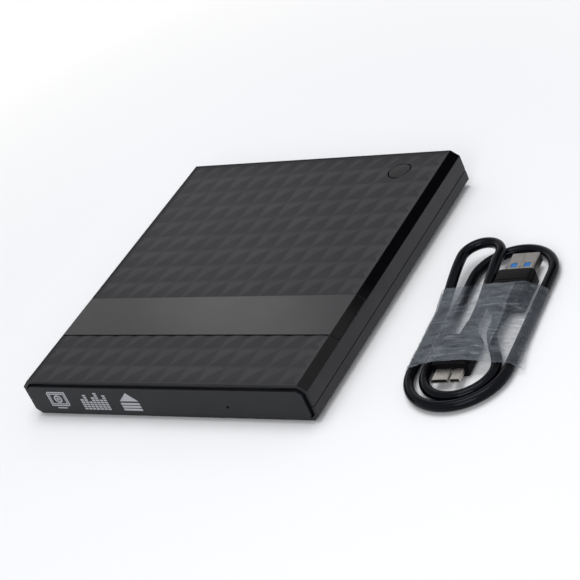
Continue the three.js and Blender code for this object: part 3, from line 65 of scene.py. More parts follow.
camera = placed("camera", bpy.data.cameras.new("camera"))
camera.data.lens = camera_lens
camera.data.clip_start = 0.05
camera.location = camera_place
camera.rotation_mode = "QUATERNION"
camera.rotation_quaternion = (camera_aim - camera_place).to_track_quat("-Z", "Y") @ Quaternion(
    (0, 0, 1), -camera_roll
)
bpy.context.scene.camera = camera
bpy.context.scene.view_settings.view_transform = "Standard"

# The cable is one length of round, soft black cord. It leaves the small plug, climbs to the far left
# turn, winds down into two flat loops and ends at the wide plug, as it is bundled for its bag.
mm = 0.001
cord_diameter = 4.4 * mm
cord_lift, crossing_gap = 0.55 * mm, 0.6 * mm
cord_sides, turn_steps, run_steps, climb_steps = 24, 26, 6, 22
hank_x, hank_y, hank_angle = 120.4 * mm, -20.475 * mm, math.radians(4)
hank_place = Matrix.Translation((hank_x, hank_y, 0)) @ Matrix.Rotation(hank_angle, 4, "Z")

lower_z = cord_diameter / 2 + cord_lift
upper_z = lower_z + cord_diameter + crossing_gap
left_run, inner_left_run, upper_run = -20.5 * mm, -14 * mm, -3.5 * mm
right_run, inner_right_run = 20.3 * mm, 15 * mm
left_turn_y, right_turn_y = 37.8 * mm, 29.2 * mm
outer_turn_y, inner_turn_y = -27.9 * mm, -28.4 * mm
descent = 34 * mm

wide_plug_x, wide_plug_tip, wide_plug_z = 7.5 * mm, 38.5 * mm, 4.55 * mm
small_plug_x, small_plug_tip, small_plug_z = -3 * mm, -35.3 * mm, 4.05 * mm
wide_plug_end, small_plug_end = -1.3 * mm, -2.5 * mm
plug_gap = 0.3 * mm


def run(x0, x1, y0, y1, z0, z1, steps, straight=(0, 0)):
    """A run of cord along Y that may shift sideways and climb or sink, evenly eased."""
    way = math.copysign(1, y1 - y0)
    start, end = y0 + way * straight[0], y1 - way * straight[1]
    points = []
    for i in range(steps + 1):
        share = i / steps
        ease = share * share * (3 - 2 * share)
        points.append(Vector((x0 + (x1 - x0) * ease, start + (end - start) * share, z0 + (z1 - z0) * ease)))
    return points


def turn(x0, x1, y, z, way):
    """A half round turn from one run to the next, at the rear (1) or the front (-1)."""
    middle, radius = (x0 + x1) / 2, (x1 - x0) / 2
    angles = [math.pi * i / turn_steps for i in range(1, turn_steps)]
    return [
        Vector((middle - radius * math.cos(a), y + way * abs(radius) * math.sin(a), z)) for a in angles
    ]


descent_end = left_turn_y - descent
cord_start = Vector((small_plug_x, small_plug_end + plug_gap, small_plug_z))
cord_end = Vector((wide_plug_x, wide_plug_end - plug_gap, wide_plug_z))
cord_line = [
    cord_start,
    *run(small_plug_x, upper_run, cord_start.y, left_turn_y, small_plug_z, upper_z,
         climb_steps, (cord_diameter, 0)),
    *turn(upper_run, left_run, left_turn_y, upper_z, 1),
    *run(left_run, left_run, left_turn_y, descent_end, upper_z, lower_z, climb_steps),
    *run(left_run, left_run, descent_end, outer_turn_y, lower_z, lower_z, run_steps, (cord_diameter, 0)),
    *turn(left_run, right_run, outer_turn_y, lower_z, -1),
    *run(right_run, right_run, outer_turn_y, right_turn_y, lower_z, lower_z, run_steps),
    *turn(right_run, inner_left_run, right_turn_y, lower_z, 1),
    *run(inner_left_run, inner_left_run, right_turn_y, inner_turn_y, lower_z, lower_z, run_steps),
    *turn(inner_left_run, inner_right_run, inner_turn_y, lower_z, -1),
    *run(inner_right_run, wide_plug_x, inner_turn_y, cord_end.y, lower_z, wide_plug_z,
         climb_steps, (0, cord_diameter)),
    cord_end,
]


def meshed(made, name):
    """The plain mesh of a shape that was built up point by point."""
    mesh = bpy.data.meshes.new(name)
    made.to_mesh(mesh)
    made.free()
    return mesh


def skin(rings, closed_ends=True):
    """A mesh through rings of points, each ring with as many points as the next."""
    made = bmesh.new()
    rows = [[made.verts.new(point) for point in ring] for ring in rings]
    count = len(rings[0])
    for low, high in zip(rows, rows[1:]):
        for k in range(count):
            after = (k + 1) % count
            made.faces.new((low[k], low[after], high[after], high[k]))
    if closed_ends:
        made.faces.new(reversed(rows[0]))
        made.faces.new(rows[-1])
    bmesh.ops.recalc_face_normals(made, faces=made.faces)
    return meshed(made, "skin")


def full_round(sides):
    """Angles at even steps round a full turn."""
    return [2 * math.pi * k / sides for k in range(sides)]


def tube(line, radius, sides):
    """A round tube along a line, with a ring at each of its points."""
    rings = []
    for i, point in enumerate(line):
        along = (line[min(i + 1, len(line) - 1)] - line[max(i - 1, 0)]).normalized()
        side = along.cross(Vector((0, 0, 1))).normalized()
        lift = side.cross(along)
        rings.append([
            point + radius * (math.cos(a) * side + math.sin(a) * lift) for a in full_round(sides)
        ])
    return skin(rings)


def smooth(mesh, angle=30):
    """Shades a mesh smooth, but keeps its edges sharp where it turns by more than the angle."""
    mesh.polygons.foreach_set("use_smooth", [True] * len(mesh.polygons))
    mesh.set_sharp_from_angle(angle=math.radians(angle))
    return mesh


def piece(name, mesh, material, body, replaced=(), place=None):
    """One piece of the product, on the body that carries it."""
    made = placed(name, mesh)
    if place:
        made.matrix_world = place
    mesh.materials.clear()
    mesh.materials.append(material)
    mesh.polygons.foreach_set("material_index", [0] * len(mesh.polygons))
    bpy.context.view_layer.update()
    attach(made, body)
    if replaced:
        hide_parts(*replaced)
    return made


def srgb(red, green, blue):
    """A colour as a picture shows it, 0 to 255, in the light values that a shader takes."""
    shares = (red / 255, green / 255, blue / 255)
    return tuple(s / 12.92 if s <= 0.04045 else ((s + 0.055) / 1.055) ** 2.4 for s in shares)


def shader_of(material):
    """The shader that gives a material its finish."""
    return material.node_tree.nodes["Principled BSDF"]


def finish(name, colour, roughness, metallic=0.0, specular=0.5, coat=0.0):
    """A surface with its even colour, roughness, metal, sheen of reflection and clear coat."""
    material = bpy.data.materials.new(name)
    material.use_nodes = True
    shader = shader_of(material)
    shader.inputs["Base Color"].default_value = (*colour, 1)
    shader.inputs["Roughness"].default_value = roughness
    shader.inputs["Metallic"].default_value = metallic
    shader.inputs["Specular IOR Level"].default_value = specular
    shader.inputs["Coat Weight"].default_value = coat
    shader.inputs["Coat Roughness"].default_value = 0.08
    return material


def shading(tree, kind, inputs=(), operation=None):
    """The outputs of one more step of shading, which takes values or other steps' outputs."""
    step = tree.nodes.new("ShaderNode" + kind)
    if operation:
        step.operation = operation
    for name, value in dict(inputs).items():
        if isinstance(value, bpy.types.NodeSocket):
            tree.links.new(value, step.inputs[name])
        else:
            step.inputs[name].default_value = value
    return step.outputs


def own_place(tree):
    """Where a point lies on its piece, so that a pattern stays fixed to it."""
    return shading(tree, "TexCoord")["Object"]


def in_range(tree, source, low, high, at_low, at_high):
    """A value that goes between two others as its source goes from low to high."""
    return shading(tree, "MapRange", {
        "Value": source, "From Min": low, "From Max": high, "To Min": at_low, "To Max": at_high,
    })["Result"]


cloud_low, cloud_high = 0.3, 0.7


def cloud(material, size, stretch, detail=3):
    """A soft random pattern fixed to the piece, with spots of that size, drawn out by stretch."""
    tree = material.node_tree
    drawn = shading(tree, "Mapping", {"Vector": own_place(tree), "Scale": stretch})["Vector"]
    return shading(tree, "TexNoise", {"Vector": drawn, "Scale": 1 / size, "Detail": detail})["Fac"]


def grain(material, size, height, stretch=(1, 1, 1)):
    """A fine relief in the surface, laid over any that it has."""
    tree, normal = material.node_tree, shader_of(material).inputs["Normal"]
    inputs = {"Distance": height, "Height": cloud(material, size, stretch)}
    if normal.links:
        inputs["Normal"] = normal.links[0].from_socket
    tree.links.new(shading(tree, "Bump", inputs)["Normal"], normal)


def between_tones(material, low, high, share):
    """Takes the colour from one tone to a near one as the share goes from 0 to 1."""
    tree = material.node_tree
    mix = tree.nodes.new("ShaderNodeMix")
    mix.data_type = "RGBA"
    mix.inputs["A"].default_value = (*low, 1)
    mix.inputs["B"].default_value = (*high, 1)
    tree.links.new(share, mix.inputs["Factor"])
    tree.links.new(mix.outputs["Result"], shader_of(material).inputs["Base Color"])


def mottled(material, low, high, size, stretch=(1, 1, 1)):
    """Lets the colour drift between two near ones."""
    between_tones(material, low, high, cloud(material, size, stretch))


def uneven_gloss(material, low, high, size, stretch=(1, 1, 1)):
    """Lets the roughness drift between two values, as handling and moulding leave it."""
    tree = material.node_tree
    gloss = in_range(tree, cloud(material, size, stretch), cloud_low, cloud_high, low, high)
    tree.links.new(gloss, shader_of(material).inputs["Roughness"])


cord_jacket = finish("cord_jacket", srgb(6, 6, 9), 0.16, specular=0.1)
shader_of(cord_jacket).inputs["Specular Tint"].default_value = (0.8, 0.86, 1, 1)
mottled(cord_jacket, srgb(5, 5, 8), srgb(9, 9, 12), 9 * mm)
uneven_gloss(cord_jacket, 0.1, 0.2, 5 * mm)
grain(cord_jacket, 0.5 * mm, 0.02 * mm)

cord = piece(
    "cord", smooth(tube(cord_line, cord_diameter / 2, cord_sides)), cord_jacket, "shell",
    ["usb_cable"], hank_place,
)

# Each plug's grip is soft black vinyl moulded round the metal in one shot: a flat body with eased
# edges and shallow finger ridges, and a short ribbed sleeve round the cord behind it.
corner_steps = 6
sleeve_thin, sleeve_thick, rib_depth, rib_count = 2.6 * mm, 3.2 * mm, 0.35 * mm, 4
rib_shares = ((0, 0.25), (0.08, 0), (0.5, 0), (0.58, 1), (0.9, 1))
ridge_depth, ridge_count, ridge_start_share, ridge_pitch_share = 0.22 * mm, 5, 0.26, 0.09
ridge_shares = ((0, 0), (0.12, 1), (0.38, 1), (0.5, 0))
grip_shoulder, grip_edge = 1.6 * mm, 0.7 * mm
wide_grip_width, wide_grip_height, wide_grip_corner = 16 * mm, 8 * mm, 1.6 * mm
small_grip_width, small_grip_height, small_grip_corner = 15 * mm, 7 * mm, 1.4 * mm
wide_plug_can, wide_plug_body = 11.8 * mm, 20 * mm
small_plug_can, small_plug_body = 6 * mm, 18.8 * mm
wide_grip_front = wide_plug_tip - wide_plug_can
wide_grip_back = wide_grip_front - wide_plug_body
small_grip_front = small_plug_tip + small_plug_can
small_grip_back = small_grip_front + small_plug_body


def flat_round(x, z, y, half_width, half_height, corner):
    """A ring of points round a box section with round corners, across Y."""
    corner = min(corner, half_width, half_height)
    ring = []
    for quarter, (way_x, way_z) in enumerate(((1, 1), (-1, 1), (-1, -1), (1, -1))):
        for step in range(corner_steps + 1):
            angle = math.pi / 2 * (quarter + step / corner_steps)
            ring.append(Vector((
                x + way_x * (half_width - corner) + corner * math.cos(angle), y,
                z + way_z * (half_height - corner) + corner * math.sin(angle),
            )))
    return ring


def quarter_round(steps):
    """Angles at even steps from nothing to a quarter turn."""
    return [math.pi / 2 * k / steps for k in range(steps + 1)]


def plug_grip(x, z, cord_end_y, body_y, front_y, width, height, corner):
    """The ribbed sleeve from the cord's end to the body, and the body to where the metal leaves it."""
    way = math.copysign(1, front_y - cord_end_y)
    body_length = abs(front_y - body_y)
    rings = []
    rib_pitch = abs(body_y - cord_end_y) / rib_count
    for rib in range(rib_count):
        radius = sleeve_thin + (sleeve_thick - sleeve_thin) * rib / rib_count
        for share, inset in rib_shares:
            size = radius - rib_depth * inset
            rings.append(flat_round(x, z, cord_end_y + way * rib_pitch * (rib + share), size, size, size))
    sections = [
        (body_y + way * grip_shoulder * (1 - math.cos(a)), grip_shoulder * (1 - math.sin(a)))
        for a in quarter_round(6)
    ]
    ridge_start = body_y + way * body_length * ridge_start_share
    ridge_pitch = body_length * ridge_pitch_share
    sections += [
        (ridge_start + way * ridge_pitch * (ridge + share), ridge_depth * inset)
        for ridge in range(ridge_count) for share, inset in ridge_shares
    ]
    sections += [
        (front_y - way * grip_edge * (1 - math.sin(a)), grip_edge * (1 - math.cos(a)))
        for a in quarter_round(4)
    ]
    rings += [flat_round(x, z, y, width / 2 - inset, height / 2 - inset, corner) for y, inset in sections]
    return smooth(skin(rings), angle=40)


grip_vinyl = finish("grip_vinyl", srgb(6, 6, 8), 0.36, specular=0.05)
mottled(grip_vinyl, srgb(5, 5, 7), srgb(9, 9, 11), 6 * mm)
grain(grip_vinyl, 0.35 * mm, 0.03 * mm)
wide_grip = piece(
    "wide_plug_grip",
    plug_grip(wide_plug_x, wide_plug_z, wide_plug_end, wide_grip_back, wide_grip_front,
              wide_grip_width, wide_grip_height, wide_grip_corner),
    grip_vinyl, "shell", ["plug_a_overmould"], hank_place,
)
small_grip = piece(
    "small_plug_grip",
    plug_grip(small_plug_x, small_plug_z, small_plug_end, small_grip_back, small_grip_front,
              small_grip_width, small_grip_height, small_grip_corner),
    grip_vinyl, "shell", ["plug_b_overmould"], hank_place,
)

# The wide plug's can is folded from nickel-plated steel sheet, with two square windows through its
# top and bottom and the fold's seam between them. A blue resin block inside carries gold contacts.
can_width, can_height, can_sheet, can_corner, can_sunk = 12 * mm, 4.5 * mm, 0.35 * mm, 0.55 * mm, 1 * mm
can_back, can_top = wide_grip_front - can_sunk, wide_plug_z + can_height / 2
window_size, window_offset, window_setback = 2.7 * mm, 2.9 * mm, 6.2 * mm
window_y = wide_plug_tip - window_setback - window_size / 2
fold_width, fold_depth = 0.16 * mm, 0.12 * mm
overrun = 1 * mm


def block(low, high):
    """A solid block between two corners."""
    corners = [[Vector((x, y, z)) for x, y in (
        (low[0], low[1]), (high[0], low[1]), (high[0], high[1]), (low[0], high[1]),
    )] for z in (low[2], high[2])]
    return skin(corners)


def worked(work, tools=()):
    """The mesh that an object's changes make of it. The object and its tools are put away."""
    mesh = bpy.data.meshes.new_from_object(work.evaluated_get(bpy.context.evaluated_depsgraph_get()))
    for spare in (work, *tools):
        bpy.data.objects.remove(spare)
    return mesh


def shaped(mesh, cut=(), joined=(), edge=0.0, segments=2, flat_faces=True):
    """The mesh with solids joined to it and cut from it, and then with its sharp edges rounded."""
    work, tools = placed("work", mesh), []
    for operation, solids in (("UNION", joined), ("DIFFERENCE", cut)):
        for other in solids:
            tools.append(placed("tool", other))
            change = work.modifiers.new(operation, "BOOLEAN")
            change.operation = operation
            change.solver = "MANIFOLD"
            change.object = tools[-1]
    if edge:
        rounded = work.modifiers.new("rounded", "BEVEL")
        rounded.width = edge
        rounded.segments = segments
        rounded.limit_method = "ANGLE"
        rounded.angle_limit = math.radians(30)
    result = worked(work, tools)
    if flat_faces:
        work = placed("work", smooth(result, angle=40))
        weighted = work.modifiers.new("weighted", "WEIGHTED_NORMAL")
        weighted.keep_sharp = True
        weighted.weight = 100
        result = worked(work)
    return result


def can_ring(y, inset):
    """The can's outline across Y, drawn in by the inset."""
    return flat_round(
        wide_plug_x, wide_plug_z, y, can_width / 2 - inset, can_height / 2 - inset, can_corner - inset / 2,
    )


can_outside = skin([can_ring(can_back, 0), can_ring(wide_plug_tip, 0)])
can_inside = skin([can_ring(y, can_sheet) for y in (can_back - overrun, wide_plug_tip + overrun)])
window_xs = (wide_plug_x - window_offset, wide_plug_x + window_offset)
windows = [
    block((x - window_size / 2, window_y - window_size / 2, -overrun),
          (x + window_size / 2, window_y + window_size / 2, can_top + overrun))
    for x in window_xs
]
fold_seam = block((wide_plug_x - fold_width / 2, can_back, can_top - fold_depth),
                  (wide_plug_x + fold_width / 2, wide_plug_tip + overrun, can_top + overrun))

plated_steel = finish("plated_steel", srgb(138, 135, 132), 0.38, metallic=1)
mottled(plated_steel, srgb(124, 120, 116), srgb(152, 150, 148), 2.5 * mm)
uneven_gloss(plated_steel, 0.3, 0.46, 1.5 * mm, (1, 8, 1))
grain(plated_steel, 0.25 * mm, 0.012 * mm, (1, 6, 1))

wide_can = piece(
    "wide_plug_can", shaped(can_outside, cut=[can_inside, *windows, fold_seam], edge=0.05 * mm),
    plated_steel, "shell", ["plug_a_shell"], hank_place,
)

blue_resin = finish("blue_resin", srgb(14, 98, 168), 0.38, specular=0.3)
mottled(blue_resin, srgb(10, 90, 158), srgb(22, 110, 180), 2 * mm)
grain(blue_resin, 0.3 * mm, 0.01 * mm)
insert_gap, insert_setback, insert_height = 0.1 * mm, 0.3 * mm, 1.9 * mm
insert_half = can_width / 2 - can_sheet - insert_gap
insert_bottom = wide_plug_z - can_height / 2 + can_sheet + insert_gap
insert = block(
    (wide_plug_x - insert_half, can_back, insert_bottom),
    (wide_plug_x + insert_half, wide_plug_tip - insert_setback, insert_bottom + insert_height),
)
insert_pad_half, insert_pad_lap, insert_pad_gap, insert_pad_root = 1.5 * mm, 1.4 * mm, 0.12 * mm, 1 * mm
tile_gap, tile_sink = 0.08 * mm, 0.14 * mm
tile_half = window_size / 2 - tile_gap
insert_pads = [
    block((x - half, y0, insert_bottom + insert_pad_root), (x + half, y1, top))
    for half, y0, y1, top in (
        (insert_pad_half, can_back, window_y + insert_pad_lap, can_top - can_sheet - insert_pad_gap),
        (tile_half, window_y - tile_half, window_y + tile_half, can_top - tile_sink),
    )
    for x in window_xs
]
wide_insert = piece(
    "wide_plug_insert", shaped(insert, joined=insert_pads, edge=0.12 * mm), blue_resin, "shell",
    ["plug_a_insert"], hank_place,
)

gold_plate = finish("gold_plate", srgb(226, 180, 96), 0.22, metallic=1)
mottled(gold_plate, srgb(214, 166, 82), srgb(236, 194, 112), 0.8 * mm)
grain(gold_plate, 0.2 * mm, 0.006 * mm, (4, 1, 1))
contact_sheet, contact_edge, contact_pitch, contact_width = 0.1 * mm, 0.03 * mm, 2.4 * mm, 1.1 * mm
contact_sunk, contact_start, contact_setback = 0.02 * mm, 2 * mm, 0.9 * mm


def contacts(x, z, y0, y1, pitch, width, count):
    """A row of flat contact springs side by side, as one mesh."""
    made = bmesh.new()
    for k in range(count):
        middle = x + (k - (count - 1) / 2) * pitch
        low = Vector((middle - width / 2, min(y0, y1), z))
        high = Vector((middle + width / 2, max(y0, y1), z + contact_sheet))
        made.from_mesh(block(low, high))
    bmesh.ops.bevel(made, geom=made.edges, offset=contact_edge, segments=1)
    return meshed(made, "contacts")


wide_contacts = piece(
    "wide_plug_contacts",
    contacts(wide_plug_x, insert_bottom + insert_height - contact_sunk, window_y + contact_start,
             wide_plug_tip - contact_setback, contact_pitch, contact_width, 4),
    gold_plate, "shell", (), hank_place,
)

# The small plug's can is one strip of plated steel folded into two mouths side by side, pinched
# together between them, each round a dark tongue.
mouth_height, mouth_sheet, mouth_lean_in = 1.8 * mm, 0.25 * mm, 0.05 * mm
left_mouth, mouth_notch, right_mouth = 6.9 * mm, 0.9 * mm, 4.2 * mm
mouth_low, mouth_high = small_plug_z - mouth_height / 2, small_plug_z + mouth_height / 2
mouth_left_x = small_plug_x - (left_mouth + mouth_notch + right_mouth) / 2
mouth_right_x = mouth_left_x + left_mouth + mouth_notch
mouth_sunk, hollow_short, left_lean, right_lean = 0.8 * mm, 1.6 * mm, 0.5 * mm, 0.3 * mm
mouth_back, hollow_end = small_grip_front + mouth_sunk, small_grip_front - hollow_short
root_length, root_inset, root_drop = 1.4 * mm, 1 * mm, 0.5 * mm
mouth_spans = [
    (mouth_left_x, mouth_left_x + left_mouth, left_lean),
    (mouth_right_x, mouth_right_x + right_mouth, right_lean),
]


def mouth(x0, x1, y0, y1, inset, lean):
    """A flat tube along Y whose upper corners lean in, with all its walls drawn in by the inset."""
    left, right, low, high = x0 + inset, x1 - inset, mouth_low + inset, mouth_high - inset
    outline = ((left, low), (right, low), (right, high - lean), (right - lean, high), (left + lean, high),
               (left, high - lean))
    return skin([[Vector((x, y, z)) for x, z in outline] for y in (y0, y1)])


left_tube, right_tube = (
    mouth(x0, x1, small_plug_tip, mouth_back, 0, lean) for x0, x1, lean in mouth_spans
)
hollows = [
    mouth(x0, x1, small_plug_tip - overrun, hollow_end, mouth_sheet, lean - mouth_lean_in)
    for x0, x1, lean in mouth_spans
]
root = block((mouth_left_x + root_inset, small_grip_front - root_length, mouth_low),
             (mouth_right_x + root_inset, mouth_back, mouth_high - root_drop))
bright_plate = finish("bright_plate", srgb(176, 172, 166), 0.3, metallic=1)
mottled(bright_plate, srgb(156, 151, 144), srgb(192, 189, 184), 1.5 * mm)
uneven_gloss(bright_plate, 0.24, 0.4, 1.2 * mm, (1, 6, 1))
grain(bright_plate, 0.25 * mm, 0.012 * mm, (1, 6, 1))
small_can = piece(
    "small_plug_can", shaped(left_tube, cut=hollows, joined=[right_tube, root], edge=0.06 * mm),
    bright_plate, "shell", ["plug_b_shell"], hank_place,
)

tongue_resin = finish("tongue_resin", srgb(16, 16, 18), 0.4)
mottled(tongue_resin, srgb(13, 13, 15), srgb(22, 22, 24), mm)
tongue_below, tongue_above, tongue_setback, tongue_sunk = 0.35 * mm, 0.25 * mm, 0.5 * mm, 0.2 * mm
left_tongue_gap, right_tongue_gap = 1.2 * mm, 0.8 * mm
left_tongue, right_tongue = (
    block((x0 + gap, small_plug_tip + tongue_setback, small_plug_z - tongue_below),
          (x1 - gap, hollow_end + tongue_sunk, small_plug_z + tongue_above))
    for (x0, x1, _), gap in zip(mouth_spans, (left_tongue_gap, right_tongue_gap))
)
small_tongues = piece(
    "small_plug_tongues", shaped(left_tongue, joined=[right_tongue], edge=0.08 * mm), tongue_resin,
    "shell", (), hank_place,
)

# The film sleeve is a tube of thin clear film, slipped over the bundle and drawn close round it. At
# each place it spans from one run of cord to the next, and it is creased across and along.
sleeve_front, sleeve_rear = -28 * mm, 17.5 * mm
sleeve_rings, sleeve_points, section_sides, hull_reach, hull_step, even_reach = 96, 168, 20, 6, 3, 5
film_gap, crease_height, pleat_width = 0.35 * mm, 0.28 * mm, 0.55 * mm
pleat_lines = ((right_run - 3.2 * mm, 0.03), (right_run + 1.1 * mm, -0.02))
fold_share, slant_share, sharp_share, sharp_from = 0.7, 0.35, 0.7, 0.72
edge_wave, edge_rings, side_share, flat_below, film_least = 0.5 * mm, 5, 0.3, 2 * mm, 0.12 * mm
flap_length, flap_reach, flap_least, flap_z = 32 * mm, 3.2 * mm, 0.4 * mm, 1.4 * mm


def bundle_section(y):
    """Points round everything that the sleeve holds, where a plane across Y cuts it."""
    points = []
    for a, b in zip(cord_line, cord_line[1:]):
        if (a.y - y) * (b.y - y) <= 0 and a.y != b.y:
            share = (y - a.y) / (b.y - a.y)
            centre = a.lerp(b, share)
            points += [
                (centre.x + (cord_diameter / 2 + film_gap) * math.cos(t),
                 centre.z + (cord_diameter / 2 + film_gap) * math.sin(t))
                for t in full_round(section_sides)
            ]
    sleeve = (2 * sleeve_thick, 2 * sleeve_thick, sleeve_thick)
    wide_body = (wide_grip_width, wide_grip_height, wide_grip_corner)
    small_body = (small_grip_width, small_grip_height, small_grip_corner)
    for x, z, (width, height, corner), low, high in (
        (wide_plug_x, wide_plug_z, wide_body, wide_grip_back, wide_grip_front),
        (wide_plug_x, wide_plug_z, sleeve, wide_plug_end, wide_grip_back),
        (small_plug_x, small_plug_z, small_body, small_grip_front, small_grip_back),
        (small_plug_x, small_plug_z, sleeve, small_grip_back, small_plug_end),
    ):
        if low <= y <= high:
            points += [(p.x, p.z) for p in flat_round(
                x, z, y, width / 2 + film_gap, height / 2 + film_gap, corner + film_gap,
            )]
    loose = max(0.0, 1 - (y - sleeve_front) / flap_length)
    points.append((right_run + cord_diameter / 2 + flap_least + flap_reach * loose ** 2, flap_z))
    return points


def hull(points):
    """The tight loop round points in a plane, anticlockwise."""
    points = sorted(set(points))

    def half(ordered):
        """One side of the loop, without its last point."""
        chain = []
        for p in ordered:
            while len(chain) > 1 and (
                (chain[-1][0] - chain[-2][0]) * (p[1] - chain[-2][1])
                - (chain[-1][1] - chain[-2][1]) * (p[0] - chain[-2][0])
            ) <= 0:
                chain.pop()
            chain.append(p)
        return chain[:-1]

    return half(points) + half(reversed(points))


def evenly(loop, count):
    """That many points at equal steps round a loop, from its leftmost point."""
    lengths = [math.dist(a, b) for a, b in zip(loop, loop[1:] + loop[:1])]
    step = sum(lengths) / count
    points, at, index = [], 0.0, 0
    for k in range(count):
        want = k * step
        while at + lengths[index] < want:
            at += lengths[index]
            index += 1
        a, b = loop[index], loop[(index + 1) % len(loop)]
        share = (want - at) / lengths[index]
        points.append((a[0] + (b[0] - a[0]) * share, a[1] + (b[1] - a[1]) * share))
    return points


def film_crease(x, y, z):
    """How far the film stands in or out at a point: soft folds, sharp creases and two long pleats."""
    fold = noise.noise(Vector((x * 60, y * 240, z * 80)))
    slant = noise.noise(Vector((x * 150 + y * 90, y * 420 - x * 60, z * 150)))
    sharp = 1 - abs(2 * noise.noise(Vector((x * 45 - y * 60, y * 400 + x * 50, 7.0))))
    pleats = sum(
        math.exp(-((x - line - lean * (y - sleeve_front)) / pleat_width) ** 2)
        for line, lean in pleat_lines
    )
    sharp = max(0.0, sharp - sharp_from) / (1 - sharp_from)
    return crease_height * (fold_share * fold + slant_share * slant + sharp_share * sharp + pleats)


film_pitch = (sleeve_rear - sleeve_front) / sleeve_rings
taut = [
    hull(bundle_section(sleeve_front + film_pitch * i))
    for i in range(-hull_reach, sleeve_rings + hull_reach + 1)
]
nearby = [taut[i:i + 2 * hull_reach + 1:hull_step] for i in range(sleeve_rings + 1)]
spread = [evenly(hull([point for row in rows for point in row]), sleeve_points) for rows in nearby]
film_rings = []
for i in range(sleeve_rings + 1):
    y = sleeve_front + (sleeve_rear - sleeve_front) * i / sleeve_rings
    near = [spread[min(max(i + k, 0), sleeve_rings)] for k in range(-even_reach, even_reach + 1)]
    ring = []
    for k in range(sleeve_points):
        x = sum(row[k][0] for row in near) / len(near)
        z = sum(row[k][1] for row in near) / len(near)
        away = film_crease(x, y, z)
        wave = edge_wave * noise.noise(Vector((x * 110, 3.0 if i < sleeve_rings / 2 else 9.0, z * 90)))
        edge = max(0.0, 1 - min(i, sleeve_rings - i) / edge_rings)
        ring.append(Vector((x + side_share * away * math.copysign(1, x), y + wave * edge,
                            max(z + (away if z > flat_below else 0), film_least))))
    film_rings.append(ring)

clear_film = finish("clear_film", srgb(107, 113, 121), 0.12, specular=0.5)
shader_of(clear_film).inputs["IOR"].default_value = 1.49
grain(clear_film, 6 * mm, 0.5 * mm, (1, 3.6, 1))
grain(clear_film, 1.8 * mm, 0.14 * mm, (1, 3, 1))
film_tree = clear_film.node_tree
seam_x, seam_half, seam_blend = 10.2 * mm, 0.5 * mm, 0.3 * mm
stretch_x, stretch_half, stretch_fade = (inner_left_run + upper_run) / 2, 1.2 * mm, 3.2 * mm
stretch_front, stretch_rear, desk_low, desk_high = -6 * mm, 8 * mm, 1 * mm, 3 * mm
haze_least, haze_most, single_lap_no_sheen, stretch_clearing = 0.26, 0.6, 0.5, 0.85
crease_from, crease_highlight_haze, seal_haze, desk_share = 0.52, 0.36, 0.3, 0.2


def both(operation, first, second):
    """Two causes of the film's milkiness taken together."""
    return shading(film_tree, "Math", {0: first, 1: second}, operation)["Value"]


film_at = shading(film_tree, "SeparateXYZ", {"Vector": own_place(film_tree)})
# Left of the seam the film lies doubled and is made twice as milky. This extra milkiness is partly a
# painted sheen, standing for the light that this side of the film mirrors.
from_seam = both("SUBTRACT", film_at["X"], seam_x)
lap_and_painted_sheen = in_range(film_tree, from_seam, -seam_blend, seam_blend, 1, single_lap_no_sheen)
haze_cloud = cloud(clear_film, 9 * mm, (1, 2.6, 1), 5)
haze = in_range(film_tree, haze_cloud, cloud_low, cloud_high, haze_least, haze_most)
from_stretch = both("ABSOLUTE", both("SUBTRACT", film_at["X"], stretch_x), 0.0)
across_stretch = in_range(film_tree, from_stretch, stretch_half, stretch_fade, 1, 0)
along_stretch = in_range(film_tree, film_at["Y"], stretch_front, stretch_rear, 0, stretch_clearing)
slack = both("SUBTRACT", 1.0, both("MULTIPLY", across_stretch, along_stretch))
milky = both("MULTIPLY", both("MULTIPLY", haze, lap_and_painted_sheen), slack)
# Thin milky streaks run along the creases. They are partly whitened film and partly painted highlights
# along the wrinkles.
crease_cloud = cloud(clear_film, 3.2 * mm, (0.3, 3.2, 1), 4)
creases_and_highlights = in_range(film_tree, crease_cloud, crease_from, cloud_high, 0, crease_highlight_haze)
sealed = in_range(film_tree, both("ABSOLUTE", from_seam, 0.0), 0, seam_half, seal_haze, 0)
off_the_desk = in_range(film_tree, film_at["Z"], desk_low, desk_high, desk_share, 1)
film_alpha = both("MULTIPLY", both("ADD", both("ADD", milky, creases_and_highlights), sealed), off_the_desk)
film_tree.links.new(film_alpha, shader_of(clear_film).inputs["Alpha"])

film = piece(
    "film_sleeve", smooth(skin(film_rings, closed_ends=False), angle=60), clear_film, "shell",
    ["cable_sleeve"], hank_place,
)

# The bottom shell is an open tray moulded in black plastic. Its side walls lean in along their lower
# edge, the data socket looks out through its rear wall, and the feet and screws sit in its floor.
def corners_of(node):
    """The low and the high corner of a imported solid's box."""
    low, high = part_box(node)
    return Vector(low), Vector(high)


shell_low, shell_high = corners_of("bottom_shell")
half_width = shell_high.x
shell_depth = shell_high.y - shell_low.y
shell_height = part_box("top_shell")[1][2] - shell_low.z
drive_place = Matrix.Translation((0, shell_low.y, shell_low.z))

wall = 1.5 * mm
top_lean, top_drop = 3.5 * mm, 3.1 * mm
bottom_lean, bottom_rise = 2.6 * mm, 2.4 * mm
parting, parting_gap = 7.2 * mm, 0.4 * mm
moulded_edge = 0.18 * mm
shell_outline = [
    (-half_width + bottom_lean, 0), (half_width - bottom_lean, 0), (half_width, bottom_rise),
    (half_width, shell_height - top_drop), (half_width - top_lean, shell_height),
    (-half_width + top_lean, shell_height), (-half_width, shell_height - top_drop),
    (-half_width, bottom_rise),
]


